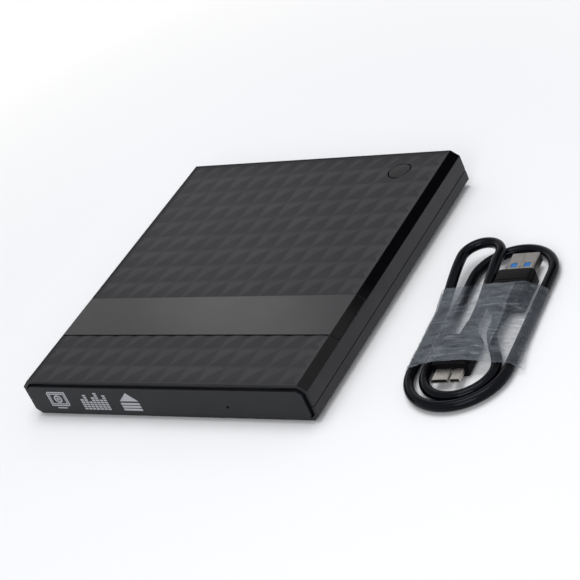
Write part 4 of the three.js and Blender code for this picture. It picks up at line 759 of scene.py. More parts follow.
def drawn_in(loop, inset):
    """The same outline with every side moved in by the inset."""
    moved = []
    for before, corner, after in zip(loop[-1:] + loop[:-1], loop, loop[1:] + loop[:1]):
        first = (Vector(corner) - Vector(before)).normalized()
        second = (Vector(after) - Vector(corner)).normalized()
        inward = Vector((-first.y, first.x)) + Vector((-second.y, second.x))
        moved.append(Vector(corner) + inward * inset / (1 + first.dot(second)))
    return moved


def prism(loop, y0, y1):
    """A solid of one outline along Y."""
    return skin([[Vector((p[0], y, p[1])) for p in loop] for y in (y0, y1)])


def upright(x, y, z0, z1, radius, sides=48):
    """A round solid that stands up."""
    return skin([
        [Vector((x + radius * math.cos(a), y + radius * math.sin(a), z)) for a in full_round(sides)]
        for z in (z0, z1)
    ])


wide = half_width + overrun
inside = prism(drawn_in(shell_outline, wall), -overrun, shell_depth - wall)
above_parting = block((-wide, -overrun, parting - parting_gap / 2),
                      (wide, shell_depth + overrun, shell_height + overrun))
below_parting = block((-wide, -overrun, -overrun), (wide, shell_depth + overrun, parting + parting_gap / 2))

foot_radius, foot_gap, foot_recess = 4.5 * mm, 0.3 * mm, 0.8 * mm
foot_x, front_foot_y, rear_foot_y = half_width - 15.5 * mm, 12 * mm, shell_depth - 12.5 * mm
foot_places = [(side * foot_x, y) for side in (-1, 1) for y in (front_foot_y, rear_foot_y)]
screw_x, front_screw_y, rear_screw_y = half_width - 4.4 * mm, 30 * mm, shell_depth - 6.3 * mm
screw_places = [(side * screw_x, y) for side in (-1, 1) for y in (front_screw_y, rear_screw_y)]
screw_head_radius, screw_head_recess, screw_sides = 1.9 * mm, 1.3 * mm, 32

socket_low, socket_high = corners_of("data_socket")
socket_margin = 0.5 * mm
socket_opening = block(
    (socket_low.x - socket_margin, shell_depth - 2 * wall,
     socket_low.z - shell_low.z - socket_margin),
    (socket_high.x + socket_margin, shell_depth + overrun,
     socket_high.z - shell_low.z + socket_margin),
)
foot_recesses = [upright(x, y, -overrun, foot_recess, foot_radius + foot_gap) for x, y in foot_places]
screw_recesses = [
    upright(x, y, -overrun, screw_head_recess, screw_head_radius + foot_gap, screw_sides)
    for x, y in screw_places
]


def moulded_black(name, colour, roughness, grain_size, grain_height, specular=0.5):
    """Black moulded plastic with a spark-eroded grain, slightly uneven in tone and gloss."""
    material = finish(name, srgb(*colour), roughness, specular=specular)
    mottled(material, srgb(*[c - 3 for c in colour]), srgb(*[c + 3 for c in colour]), 7 * mm)
    uneven_gloss(material, roughness - 0.04, roughness + 0.05, 11 * mm)
    grain(material, grain_size, grain_height)
    return material


side_plastic = moulded_black("side_plastic", (22, 22, 26), 0.4, 0.45 * mm, 0.02 * mm, specular=0.26)
base_cuts = [inside, above_parting, socket_opening, *foot_recesses, *screw_recesses]
piece(
    "base_tray", shaped(prism(shell_outline, 0, shell_depth), cut=base_cuts, edge=moulded_edge),
    side_plastic, "shell", ["bottom_shell"], drive_place,
)

# Four round feet of soft black rubber are glued into recesses in the floor. Each has an eased edge
# and a slightly hollow face, which holds the drive still on a desk.
foot_out, foot_edge, glue_gap = 0.8 * mm, 0.5 * mm, 0.3 * mm
hollow_depth, hollow_rim, hollow_slope = 0.15 * mm, 1.3 * mm, 0.3 * mm


def turned(profile, place, sides=48):
    """A closed round solid from a profile of radius and height, turned about an upright axis."""
    made = bmesh.new()
    x, y = place[0], place[1]
    rows = []
    for radius, z in profile:
        if radius:
            rows.append([
                made.verts.new((x + radius * math.cos(a), y + radius * math.sin(a), z))
                for a in full_round(sides)
            ])
        else:
            rows.append([made.verts.new((x, y, z))] * sides)
    for low, high in zip(rows, rows[1:]):
        for k in range(sides):
            corners = (low[k], low[(k + 1) % sides], high[(k + 1) % sides], high[k])
            made.faces.new(dict.fromkeys(corners))
    bmesh.ops.recalc_face_normals(made, faces=made.faces)
    return smooth(meshed(made, "turned"), angle=35)


foot_rubber = finish("foot_rubber", srgb(24, 24, 25), 0.75, specular=0.3)
mottled(foot_rubber, srgb(20, 20, 21), srgb(30, 30, 30), 2 * mm)
grain(foot_rubber, 0.3 * mm, 0.03 * mm)
rounded_rim = [
    (foot_radius - foot_edge * (1 - math.sin(a)), -foot_out + foot_edge * (1 - math.cos(a)))
    for a in quarter_round(5)
]
foot_profile = [
    (0, -foot_out + hollow_depth), (foot_radius - hollow_rim - hollow_slope, -foot_out + hollow_depth),
    (foot_radius - hollow_rim, -foot_out), *rounded_rim,
    (foot_radius, foot_recess - glue_gap), (0, foot_recess - glue_gap),
]
corner_names = ["front_left", "rear_left", "front_right", "rear_right"]
for place, corner in zip(foot_places, corner_names):
    piece(f"rubber_foot_{corner}", turned(foot_profile, place), foot_rubber, "shell",
          [f"foot_{corner}"], drive_place)

# Four black self-tapping screws come up through the floor into the lid. Each has a low pan head with
# a cross driven into it.
screw_steel = finish("screw_steel", srgb(58, 58, 60), 0.32, metallic=1)
mottled(screw_steel, srgb(48, 48, 50), srgb(70, 70, 72), 1 * mm)
grain(screw_steel, 0.15 * mm, 0.01 * mm)
head_height, head_dome = 1.1 * mm, 0.45 * mm
shank_radius, shank_length, blunt_tip = 0.9 * mm, 9 * mm, 0.3 * mm
cross_half_width, cross_half_length, cross_depth = 0.25 * mm, 1.2 * mm, 0.7 * mm
head_low, shank_end = screw_head_recess - head_height, screw_head_recess + shank_length
domed_head = [
    (screw_head_radius * math.sin(a), head_low + head_dome * (1 - math.cos(a))) for a in quarter_round(6)
]
screw_profile = [
    *domed_head, (screw_head_radius, screw_head_recess), (shank_radius, screw_head_recess),
    (shank_radius, shank_end - shank_radius), (0, shank_end - blunt_tip),
]
for (x, y), corner in zip(screw_places, corner_names):
    cross = [
        block((x - along, y - across, head_low - overrun), (x + along, y + across, head_low + cross_depth))
        for along, across in ((cross_half_length, cross_half_width), (cross_half_width, cross_half_length))
    ]
    screw = shaped(turned(screw_profile, (x, y), screw_sides), cut=cross)
    piece(f"pan_screw_{corner}", screw, screw_steel, "shell", [f"shell_screw_{corner}"],
          drive_place)

# The bridge board lies across the rear of the shell, behind the drive. Its green laminate carries
# the data socket, the bridge chip, the switch under the eject button and a capacitor.
def refinished(material, *names):
    """Gives solids that keep their shape their real finish."""
    for name in names:
        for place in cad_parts[name].material_slots:
            place.link = "OBJECT"
            place.material = material


def eased_edges(material, radius):
    """Lets light run round the edges of a piece as if they had that radius."""
    tree, shader = material.node_tree, shader_of(material)
    edge = tree.nodes.new("ShaderNodeBevel")
    edge.samples = 4
    edge.inputs["Radius"].default_value = radius
    reliefs = shader.inputs["Normal"].links
    outermost = reliefs[0].from_node if reliefs else shader
    tree.links.new(edge.outputs["Normal"], outermost.inputs["Normal"])


track_length, track_pitch, track_width, track_relief = 5.2 * mm, 0.9 * mm, 0.14 * mm, 0.03 * mm


def laminate(name, dark, light):
    """Green board: solder mask over copper tracks, which show as lighter lines in steps."""
    material = finish(name, srgb(*dark), 0.3, coat=0.25)
    tree, shader = material.node_tree, shader_of(material)
    tracks = shading(tree, "TexBrick", {
        "Vector": own_place(tree), "Scale": 1, "Brick Width": track_length, "Row Height": track_pitch,
        "Mortar Size": track_width, "Mortar Smooth": 0.2, "Mortar": (*srgb(*light), 1),
        "Color1": (*srgb(*dark), 1), "Color2": (*srgb(*[c * 0.86 for c in dark]), 1),
    })
    relief = shading(tree, "Bump", {"Distance": track_relief, "Height": tracks["Fac"]})
    tree.links.new(tracks["Color"], shader.inputs["Base Color"])
    tree.links.new(relief["Normal"], shader.inputs["Normal"])
    grain(material, 0.2 * mm, 0.004 * mm)
    eased_edges(material, 0.08 * mm)
    return material


def plain_resin(name, colour, roughness, spread=4, size=2 * mm):
    """Moulded resin of one colour, matt from its tool and a little uneven."""
    material = finish(name, srgb(*colour), roughness)
    mottled(material, srgb(*[c - spread for c in colour]), srgb(*[c + spread for c in colour]), size)
    uneven_gloss(material, roughness - 0.05, roughness + 0.06, 3 * size)
    grain(material, 0.25 * mm, 0.012 * mm)
    eased_edges(material, 0.12 * mm)
    return material


def drawn_metal(name, colour, roughness, size, stretch, easing):
    """Metal with the lines that rolling, turning or drawing leaves in it."""
    material = finish(name, srgb(*colour), roughness, metallic=1)
    mottled(material, srgb(*[c - 10 for c in colour]), srgb(*[c + 10 for c in colour]), 6 * size, stretch)
    uneven_gloss(material, roughness - 0.07, roughness + 0.1, 3 * size, stretch)
    grain(material, size, 0.006 * mm, stretch)
    eased_edges(material, easing)
    return material


board_laminate = laminate("board_laminate", (18, 74, 44), (46, 112, 74))
chip_resin = plain_resin("chip_resin", (34, 34, 36), 0.5)
black_resin = plain_resin("black_resin", (27, 27, 29), 0.42)
can_aluminium = drawn_metal("can_aluminium", (176, 178, 182), 0.3, 0.3 * mm, (1, 1, 6), 0.25 * mm)
refinished(board_laminate, "bridge_board", "drive_plug_board", "main_board")
refinished(black_resin, "bridge_socket", "drive_plug")
leg_tin = drawn_metal("leg_tin", (178, 178, 176), 0.3, 0.15 * mm, (1, 1, 1), 0.03 * mm)


def together(name, meshes):
    """Several small solids as one set."""
    made = bmesh.new()
    for mesh in meshes:
        made.from_mesh(mesh)
    return meshed(made, name)


case_lean, case_edge, case_standoff = 0.12 * mm, 0.06 * mm, 0.27 * mm
dot_inset, dot_depth, dot_radius = 1.3 * mm, 0.08 * mm, 0.45 * mm
leg_pitch_share, leg_width_share = 0.9, 0.56
leg_bend = [(out * mm, z * mm) for out, z in (
    (-0.1, 0.62), (0.35, 0.62), (0.5, 0.14), (1.05, 0.14), (1.05, 0), (0.4, 0), (0.24, 0.48), (-0.1, 0.48),
)]


def chip(name, node, body, legs):
    """A flat chip whose bent legs stand on the board below it, that many on each side."""
    low, high = corners_of(node)
    case = skin([
        [Vector((x, y, low.z + (high.z - low.z) * share)) for x, y in (
            (low.x + inset, low.y + inset), (high.x - inset, low.y + inset),
            (high.x - inset, high.y - inset), (low.x + inset, high.y - inset),
        )] for share, inset in ((0, case_lean), (0.5, 0), (1, case_lean))
    ])
    dot = upright(low.x + dot_inset, high.y - dot_inset, high.z - dot_depth, high.z + overrun,
                  dot_radius, sides=24)
    piece(name, shaped(case, cut=[dot], edge=case_edge), chip_resin, body, [node])
    middle, half = (low + high) / 2, (high - low) / 2
    bent = []
    for turns in range(4):
        side_half, reach = (half.y, half.x) if turns % 2 == 0 else (half.x, half.y)
        pitch = 2 * side_half * leg_pitch_share / legs
        for k in range(legs):
            across, leg_half = (k - (legs - 1) / 2) * pitch, pitch * leg_width_share / 2
            leg = skin([
                [Vector((reach + out, y, z)) for out, z in leg_bend]
                for y in (across - leg_half, across + leg_half)
            ])
            leg.transform(Matrix.Translation((middle.x, middle.y, low.z - case_standoff))
                          @ Matrix.Rotation(turns * math.pi / 2, 4, "Z"))
            bent.append(leg)
    piece(name + "_legs", together(name + "_legs", bent), leg_tin, body)


chip("bridge_chip_case", "bridge_chip", "shell", legs=8)
chip("main_chip_case", "main_chip", "tray_unit", legs=16)

chip_ceramic = plain_resin("chip_ceramic", (142, 112, 86), 0.4, spread=8, size=1 * mm)
half_long, half_wide, tall, cap, proud = 0.8 * mm, 0.4 * mm, 0.5 * mm, 0.3 * mm, 0.03 * mm


def soldered_parts(name, board, body, places):
    """Small ceramic resistors and capacitors, held on a board by their tinned ends."""
    board_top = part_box(board)[1][2]
    ceramics, ends = [], []
    for x, y in places:
        ceramics.append(block((x - half_long + cap / 2, y - half_wide, board_top + proud),
                              (x + half_long - cap / 2, y + half_wide, board_top + tall)))
        for way in (-1, 1):
            outer, inner = x + way * half_long, x + way * (half_long - cap)
            ends.append(block((min(outer, inner), y - half_wide - proud, board_top),
                              (max(outer, inner), y + half_wide + proud, board_top + tall + proud)))
    piece(name, together(name, ceramics), chip_ceramic, body)
    piece(name + "_ends", together(name + "_ends", ends), leg_tin, body)


main_low, main_high = corners_of("main_chip")
bridge_low, bridge_high = corners_of("bridge_chip")
main_gap, main_start, main_pitch_x, main_pitch_y = 4 * mm, 1 * mm, 3 * mm, 2.2 * mm
soldered_parts("main_board_parts", "main_board", "tray_unit", [
    (side_x + column * way * main_pitch_x, main_low.y + main_start + row * main_pitch_y)
    for side_x, way, columns in ((main_low.x - main_gap, -1, 4), (main_high.x + main_gap, 1, 3))
    for column in range(columns) for row in range(6) if (row + column) % 3
])
left_gap, right_gap, bridge_start = 3.4 * mm, 15 * mm, 0.8 * mm
bridge_pitch_x, bridge_pitch_y = 2.8 * mm, 1.8 * mm
soldered_parts("bridge_board_parts", "bridge_board", "shell", [
    (side_x + column * way * bridge_pitch_x, bridge_low.y + bridge_start + row * bridge_pitch_y)
    for side_x, way in ((bridge_low.x - left_gap, -1), (bridge_high.x + right_gap, 1))
    for column in range(2) for row in range(4) if (row + column) % 4
])


def rounded_corner(radius, z, edge, steps=4):
    """The rounded outer corner of a turned piece, from its side to its top."""
    return [
        (radius - edge + edge * math.cos(a), z - edge + edge * math.sin(a)) for a in quarter_round(steps)
    ]


store_low, store_high = corners_of("bridge_capacitor")
store_radius, store_rise = (store_high.x - store_low.x) / 2, store_high.z - store_low.z
rolled_groove, rolled_edge, rolled_dish = 0.3 * mm, 0.4 * mm, 0.15 * mm
groove_profile = [
    (store_radius - inset, store_low.z + share * store_rise)
    for share, inset in ((0.1, 0), (0.14, rolled_groove), (0.18, rolled_groove), (0.22, 0))
]
dish_radius = store_radius - 2 * rolled_edge
can_profile = [
    (0, store_low.z), (store_radius, store_low.z), *groove_profile,
    *rounded_corner(store_radius, store_high.z, rolled_edge), (dish_radius, store_high.z),
    (dish_radius - rolled_dish, store_high.z - rolled_dish), (0, store_high.z - rolled_dish),
]
piece("capacitor_can", turned(can_profile, (store_low + store_high) / 2, sides=64), can_aluminium, "shell",
      ["bridge_capacitor"])

# The data socket is a can of plated sheet steel, open at the rear, round a black tongue with a row
# of gold springs. The eject switch beside it is a small black tactile switch with a steel top.
socket_steel = drawn_metal("socket_steel", (166, 166, 164), 0.28, 0.25 * mm, (1, 7, 1), 0.15 * mm)
socket_middle, socket_half = (socket_low + socket_high) / 2, (socket_high - socket_low) / 2
socket_sheet, socket_rim, socket_corner, socket_lean = 0.3 * mm, 0.5 * mm, 0.5 * mm, 0.1 * mm
socket_back_sheet = 1 * mm
socket_floor = socket_low.y + socket_back_sheet
catch_x, catch_half, catch_start, catch_end = 3.4 * mm, 0.7 * mm, 4 * mm, 1.6 * mm


def socket_ring(y, inset):
    """The socket can's outline across Y, drawn in by the inset."""
    return flat_round(socket_middle.x, socket_middle.z, y, socket_half.x - inset, socket_half.z - inset,
                      socket_corner - inset / 2)


socket_inside = skin([socket_ring(y, socket_sheet) for y in (socket_floor, socket_high.y + overrun)])
socket_catches = [
    block((x - catch_half, socket_high.y - catch_start, socket_middle.z),
          (x + catch_half, socket_high.y - catch_end, socket_high.z + overrun))
    for x in (socket_middle.x - catch_x, socket_middle.x + catch_x)
]
socket_outside = skin([socket_ring(socket_low.y, socket_lean), socket_ring(socket_high.y, 0)])
piece("socket_can", shaped(socket_outside, cut=[socket_inside, *socket_catches], edge=0.06 * mm),
      socket_steel, "shell", ["data_socket"])

tongue_half, tongue_root, tongue_lap = 0.3 * mm, 1.6 * mm, 0.4 * mm
tongue_top, tongue_bottom = socket_middle.z + tongue_half, socket_middle.z - tongue_half
tongue_end = socket_high.y - socket_rim
tongue_spans = ((-4.9 * mm, 0.7 * mm, 5), (1.9 * mm, 4.9 * mm, 3))
socket_back = block(
    (socket_low.x + socket_sheet, socket_low.y + tongue_lap, socket_low.z + socket_sheet),
    (socket_high.x - socket_sheet, socket_low.y + tongue_root, socket_high.z - socket_sheet),
)
tongue_blades = [
    block((socket_middle.x + x0, socket_floor, tongue_bottom),
          (socket_middle.x + x1, tongue_end, tongue_top)) for x0, x1, _ in tongue_spans
]
piece("socket_tongue", shaped(socket_back, joined=tongue_blades, edge=0.08 * mm), black_resin, "shell")
gold_width, gold_sunk, gold_start, gold_setback, gold_spread = 0.34 * mm, 0.04 * mm, 2 * mm, 0.3 * mm, 0.8
for part, (x0, x1, count) in zip(("wide", "narrow"), tongue_spans):
    gold = contacts(socket_middle.x + (x0 + x1) / 2, tongue_top - gold_sunk, socket_low.y + gold_start,
                    tongue_end - gold_setback, gold_spread * (x1 - x0) / count, gold_width, count)
    piece("socket_springs_" + part, gold, gold_plate, "shell")

switch_low, switch_high = corners_of("eject_switch")
switch_middle = (switch_low + switch_high) / 2
plunger_rise, plunger_radius, plunger_foot = 1.1 * mm, 1.6 * mm, 1 * mm
plate_inset, plate_sheet, plate_sunk = 0.2 * mm, 0.2 * mm, 0.05 * mm
switch_body_top = switch_high.z - plunger_rise
switch_body = block(switch_low, (switch_high.x, switch_high.y, switch_body_top))
plunger = upright(switch_middle.x, switch_middle.y, switch_low.z + plunger_foot, switch_high.z,
                  plunger_radius)
piece("tact_switch", shaped(switch_body, joined=[plunger], edge=0.15 * mm), black_resin, "shell",
      ["eject_switch"])
plate_blank = block(
    (switch_low.x + plate_inset, switch_low.y + plate_inset, switch_body_top - plate_sunk),
    (switch_high.x - plate_inset, switch_high.y - plate_inset, switch_body_top + plate_sheet),
)
plate_hole = upright(switch_middle.x, switch_middle.y, switch_low.z, switch_high.z,
                     plunger_radius + plate_inset)
piece("tact_switch_plate", shaped(plate_blank, cut=[plate_hole], edge=0.08 * mm), socket_steel, "shell")

# The drive's chassis is a pan and a cover pressed from zinc-coated steel sheet. The coating leaves a
# faint spangle, and rolling leaves fine lines from front to rear.
pressed_steel = drawn_metal("pressed_steel", (158, 160, 163), 0.36, 0.5 * mm, (5, 1, 1), 0.3 * mm)
steel_tree, spangle_size = pressed_steel.node_tree, 2.5 * mm
spangle = shading(steel_tree, "TexVoronoi", {"Vector": own_place(steel_tree), "Scale": 1 / spangle_size})
spangle_share = shading(steel_tree, "SeparateColor", {"Color": spangle["Color"]})["Red"]
between_tones(pressed_steel, srgb(153, 155, 158), srgb(164, 166, 169), spangle_share)
refinished(pressed_steel, "chassis_base", "chassis_cover", "tray_bottom_plate", "traverse_frame",
           "disc_motor")

# On each side a channel of bright rolled steel slides in a pale guide that is fixed in the pan, and
# the tray's tongue slides in the channel, so that the tray can come out nearly its whole depth.
pale_resin = plain_resin("pale_resin", (206, 204, 196), 0.45)
rail_steel = drawn_metal("rail_steel", (182, 184, 187), 0.22, 0.3 * mm, (6, 1, 6), 0.12 * mm)
refinished(pale_resin, "rail_guide_left", "rail_guide_right", "lock_lever")
refinished(rail_steel, "rail_left", "rail_right")

# The tray is one moulding of black plastic: a deck with the disc's recess, finger notches and the
# window for the mechanism, on side skirts that run in the rails.
tray_plastic = moulded_black("tray_plastic", (33, 33, 35), 0.46, 0.4 * mm, 0.02 * mm)
eased_edges(tray_plastic, 0.3 * mm)
refinished(tray_plastic, "tray")

# A cover of thin sheet steel, painted black, closes the tray's window round the turntable and the
# laser's slot. The small frame round the lens holder is painted alike.
painted_steel = finish("painted_steel", srgb(38, 39, 41), 0.5)
mottled(painted_steel, srgb(34, 35, 37), srgb(44, 45, 47), 4 * mm)
uneven_gloss(painted_steel, 0.44, 0.58, 6 * mm)
grain(painted_steel, 0.35 * mm, 0.02 * mm)
eased_edges(painted_steel, 0.15 * mm)
refinished(painted_steel, "deck_cover", "lens_frame")

# The turntable is a turned disc of black anodised aluminium on the motor's shaft. A ring of grippy
# rubber lies on it, and the disc clicks over a hub with three sprung claws.
spindle_low, spindle_high = corners_of("turntable")
spindle_at, table_top = (spindle_low + spindle_high) / 2, spindle_high.z
table_radius, table_sheet, boss_radius = 15 * mm, 0.6 * mm, 6 * mm
table_edge, table_break, fine_sides = 0.2 * mm, 0.1 * mm, 120
table_metal = finish("table_metal", srgb(62, 63, 66), 0.3, metallic=1)
mottled(table_metal, srgb(54, 55, 58), srgb(72, 73, 76), 3 * mm)
uneven_gloss(table_metal, 0.24, 0.38, 2 * mm)
grain(table_metal, 0.2 * mm, 0.006 * mm)
table_profile = [
    (0, spindle_low.z), (boss_radius, spindle_low.z), (boss_radius, table_top - table_sheet),
    (table_radius - table_break, table_top - table_sheet),
    (table_radius, table_top - table_sheet + table_break),
    *rounded_corner(table_radius, table_top, table_edge), (0, table_top),
]
piece("disc_table", turned(table_profile, spindle_at, fine_sides), table_metal, "spindle",
      ["turntable"])

pad_low, pad_high = corners_of("disc_pad")
pad_radius, pad_width, pad_edge = 14.6 * mm, 2.6 * mm, 0.12 * mm
pad_rubber = finish("pad_rubber", srgb(30, 30, 31), 0.85, specular=0.3)
mottled(pad_rubber, srgb(26, 26, 27), srgb(36, 36, 37), 1.5 * mm)
grain(pad_rubber, 0.2 * mm, 0.03 * mm)
pad_profile = [(0, pad_low.z), (pad_radius, pad_low.z), *rounded_corner(pad_radius, pad_high.z, pad_edge),
               (0, pad_high.z)]
pad_disc = turned(pad_profile, spindle_at, fine_sides)
pad_hole = upright(spindle_at.x, spindle_at.y, pad_low.z - overrun, pad_high.z + overrun,
                   pad_radius - pad_width, fine_sides)
piece("grip_pad", shaped(pad_disc, cut=[pad_hole]), pad_rubber, "spindle", ["disc_pad"])

hub_low, hub_high = corners_of("clamp_hub")
hub_radius, hub_edge, hub_bore, hub_dish = 7.3 * mm, 0.6 * mm, 1.6 * mm, 0.25 * mm
dish_share, dish_floor_share, claw_root_share, slit_root_share = 0.5, 0.45, 0.6, 0.55
claws, claw_half, claw_proud, claw_low, claw_high = 3, 1.1 * mm, 0.35 * mm, 1.3 * mm, 0.6 * mm
slit_offset, slit_half, slit_depth = 1.45 * mm, 0.2 * mm, 0.9 * mm
hub_body = turned([
    (0, hub_low.z), (hub_radius, hub_low.z), *rounded_corner(hub_radius, hub_high.z, hub_edge),
    (hub_radius * dish_share, hub_high.z), (hub_radius * dish_floor_share, hub_high.z - hub_dish),
    (0, hub_high.z - hub_dish),
], spindle_at, fine_sides)
claw_solids, claw_slits = [], []
for angle in full_round(claws):
    swing = Matrix.Translation(spindle_at.to_2d().to_3d()) @ Matrix.Rotation(angle, 4, "Z")
    claw_solids.append(block((hub_radius * claw_root_share, -claw_half, hub_high.z - claw_low),
                             (hub_radius + claw_proud, claw_half, hub_high.z - claw_high)))
    slits = [
        block((hub_radius * slit_root_share, y - slit_half, hub_high.z - slit_depth),
              (hub_radius + overrun, y + slit_half, hub_high.z + overrun))
        for y in (-slit_offset, slit_offset)
    ]
    for solid in (claw_solids[-1], *slits):
        solid.transform(swing)
    claw_slits += slits
bore = upright(spindle_at.x, spindle_at.y, hub_low.z - overrun, hub_high.z + overrun, hub_bore)
hub_plastic = moulded_black("hub_plastic", (40, 40, 42), 0.4, 0.3 * mm, 0.01 * mm)
piece("clamp_claws", shaped(hub_body, cut=[*claw_slits, bore], joined=claw_solids, edge=0.06 * mm),
      hub_plastic, "spindle", ["clamp_hub"])

# The laser sled is a zinc casting on two ground steel rods, driven along them by a lead screw. Its
# lens sits in a black holder, which rises and sinks a little to follow the disc.
cast_zinc = drawn_metal("cast_zinc", (140, 141, 144), 0.45, 0.6 * mm, (1, 1, 1), 0.25 * mm)
ground_steel = drawn_metal("ground_steel", (196, 198, 201), 0.14, 0.2 * mm, (3, 3, 3), 0.1 * mm)
refinished(cast_zinc, "laser_sled")
refinished(black_resin, "lens_holder")
traverse_angle = math.radians(-132)
traverse_way = Vector((math.cos(traverse_angle), math.sin(traverse_angle), 0))
rod_sides, rod_edge = 40, 0.25 * mm


def rod_ends(node, way):
    """The two ends and the radius of a round piece that lies along a level way."""
    low, high = corners_of(node)
    radius = (high.z - low.z) / 2
    swell = Vector((radius * abs(way.y), radius * abs(way.x), radius))
    near, far = high - swell, low + swell
    return (far, near, radius) if way.x + way.y > 0 else (near, far, radius)


def turned_along(start, way, profile, sides=rod_sides):
    """A round piece along a level way, from pairs of a distance along it and a radius there."""
    across, up = way.cross(Vector((0, 0, 1))), Vector((0, 0, 1))
    return smooth(skin([
        [start + way * at + radius * (math.cos(a) * across + math.sin(a) * up) for a in full_round(sides)]
        for at, radius in profile
    ]), angle=35)


for name, node in (("main_slide_rod", "guide_rod_main"), ("side_slide_rod", "guide_rod_side")):
    start, end, radius = rod_ends(node, traverse_way)
    length = (end - start).length
    rod_profile = [(0, radius - rod_edge), (rod_edge, radius), (length - rod_edge, radius),
                   (length, radius - rod_edge)]
    piece(name, turned_along(start, traverse_way, rod_profile), ground_steel, "tray_unit",
          [node])

# The screw that drives the sled has a coarse rolled thread. Its small stepping motor is a drawn can
# in two halves, with a rolled seam and a bearing boss at the end.
screw_start, screw_end, screw_radius = rod_ends("lead_screw", traverse_way)
screw_length = (screw_end - screw_start).length
thread_pitch, thread_depth, thread_steps, thread_slope, plain_end = 3 * mm, 0.28 * mm, 8, 2.6, 2 * mm
across, up = traverse_way.cross(Vector((0, 0, 1))), Vector((0, 0, 1))
thread_rings = []
for i in range(int(screw_length / thread_pitch * thread_steps) + 1):
    at = i * thread_pitch / thread_steps
    plain, middle = min(at, screw_length - at) < plain_end, screw_start + traverse_way * at
    ring = []
    for k, angle in enumerate(full_round(rod_sides)):
        turn_share = (k / rod_sides - at / thread_pitch) % 1
        crest = min(1.0, thread_slope * abs(2 * turn_share - 1))
        radius = screw_radius - thread_depth * (1 if plain else 1 - crest)
        ring.append(middle + radius * (math.cos(angle) * across + math.sin(angle) * up))
    thread_rings.append(ring)
piece("sled_screw", smooth(skin(thread_rings), angle=50), ground_steel, "screw_unit",
      ["lead_screw"])

motor_start, motor_end, motor_radius = rod_ends("sled_motor", traverse_way)
motor_length = (motor_end - motor_start).length
end_seam, seam_step, seam_width = 1.4 * mm, 0.12 * mm, 0.3 * mm
motor_rim, motor_boss, motor_boss_radius = 0.3 * mm, 0.5 * mm, motor_radius * 0.45
seams = [
    (seam_at + along, motor_radius - drop)
    for seam_at in (end_seam, motor_length / 2)
    for along, drop in ((0, 0), (0, seam_step), (seam_width, seam_step), (seam_width, 0))
]
motor_profile = [
    (0, motor_boss_radius), (motor_boss, motor_boss_radius), (motor_boss, motor_radius - motor_rim),
    (motor_boss + motor_rim, motor_radius), *seams, (motor_length - motor_rim, motor_radius),
    (motor_length, motor_radius - motor_rim),
]
piece("stepping_motor", turned_along(motor_start, traverse_way, motor_profile, sides=64), pressed_steel,
      "tray_unit", ["sled_motor"])

# The lens is moulded from clear glass, with a coating that shimmers blue. It is a flat disc with a
# domed top, held by its rim in the black holder.
lens_low, lens_high = corners_of("objective_lens")
lens_radius, lens_rise = (lens_high.x - lens_low.x) / 2, lens_high.z - lens_low.z
lens_rim = lens_low.z + lens_rise * 0.25
lens_dome = [
    (lens_radius * math.cos(a), lens_rim + (lens_high.z - lens_rim) * math.sin(a))
    for a in quarter_round(10)[:-1]
]
lens_glass = finish("lens_glass", srgb(120, 130, 190), 0.04, specular=0.7, coat=0.6)
shader_of(lens_glass).inputs["Transmission Weight"].default_value = 0.6
mottled(lens_glass, srgb(96, 104, 176), srgb(146, 132, 200), 1.2 * mm)
lens_profile = [(0, lens_low.z), (lens_radius, lens_low.z), *lens_dome, (0, lens_high.z)]
piece("lens_dome", turned(lens_profile, (lens_low + lens_high) / 2, sides=64), lens_glass, "lens_unit",
      ["objective_lens"])

# A solenoid pulls the lock lever off its post to let the tray out. Enamelled copper wire is wound on
# a resin bobbin, which sits in a yoke of bent steel sheet.
coil_low, coil_high = corners_of("lock_solenoid")
coil_middle = (coil_low + coil_high) / 2
yoke_sheet, yoke_edge, bobbin_lift = 0.5 * mm, 0.12 * mm, 0.15 * mm
bobbin_gap, core_radius, flange = 0.35 * mm, 1.1 * mm, 0.6 * mm
bobbin_radius = (coil_high.z - coil_low.z) / 2 - bobbin_gap
yoke_mouth = block((coil_low.x + yoke_sheet, coil_low.y - overrun, coil_low.z + yoke_sheet),
                   (coil_high.x - yoke_sheet, coil_high.y + overrun, coil_high.z + overrun))
piece("solenoid_yoke", shaped(block(coil_low, coil_high), cut=[yoke_mouth], edge=yoke_edge), pressed_steel,
      "tray_unit", ["lock_solenoid"])
sideways = Vector((1, 0, 0))
bobbin_start = Vector((coil_low.x + yoke_sheet, coil_middle.y, coil_middle.z + bobbin_lift))
bobbin_length = coil_high.x - coil_low.x - 2 * yoke_sheet
bobbin_profile = [
    (0, bobbin_radius), (flange, bobbin_radius), (flange, core_radius),
    (bobbin_length - flange, core_radius), (bobbin_length - flange, bobbin_radius),
    (bobbin_length, bobbin_radius),
]
piece("solenoid_bobbin", turned_along(bobbin_start, sideways, bobbin_profile), pale_resin, "tray_unit")
coil_copper = finish("coil_copper", srgb(170, 88, 42), 0.28, metallic=1, coat=0.4)
mottled(coil_copper, srgb(150, 74, 34), srgb(190, 104, 52), 1 * mm)
uneven_gloss(coil_copper, 0.22, 0.36, 0.5 * mm)
grain(coil_copper, 0.2 * mm, 0.006 * mm, (1, 6, 6))
wire, wire_steps, wound_drop, wound_inside = 0.32 * mm, 6, 0.35 * mm, 1 * mm
wound_radius = bobbin_radius - wound_drop
wire_turns = int((bobbin_length - 2 * flange) / wire)
wound = [
    (flange + wire * (k + step / wire_steps),
     wound_radius - wire / 2 + wire / 2 * math.sin(math.pi * step / wire_steps))
    for k in range(wire_turns) for step in range(wire_steps)
]
winding_profile = [(flange, wound_inside), *wound, (flange + wire * wire_turns, wound_inside)]
piece("solenoid_winding", turned_along(bobbin_start, sideways, winding_profile), coil_copper, "tray_unit")

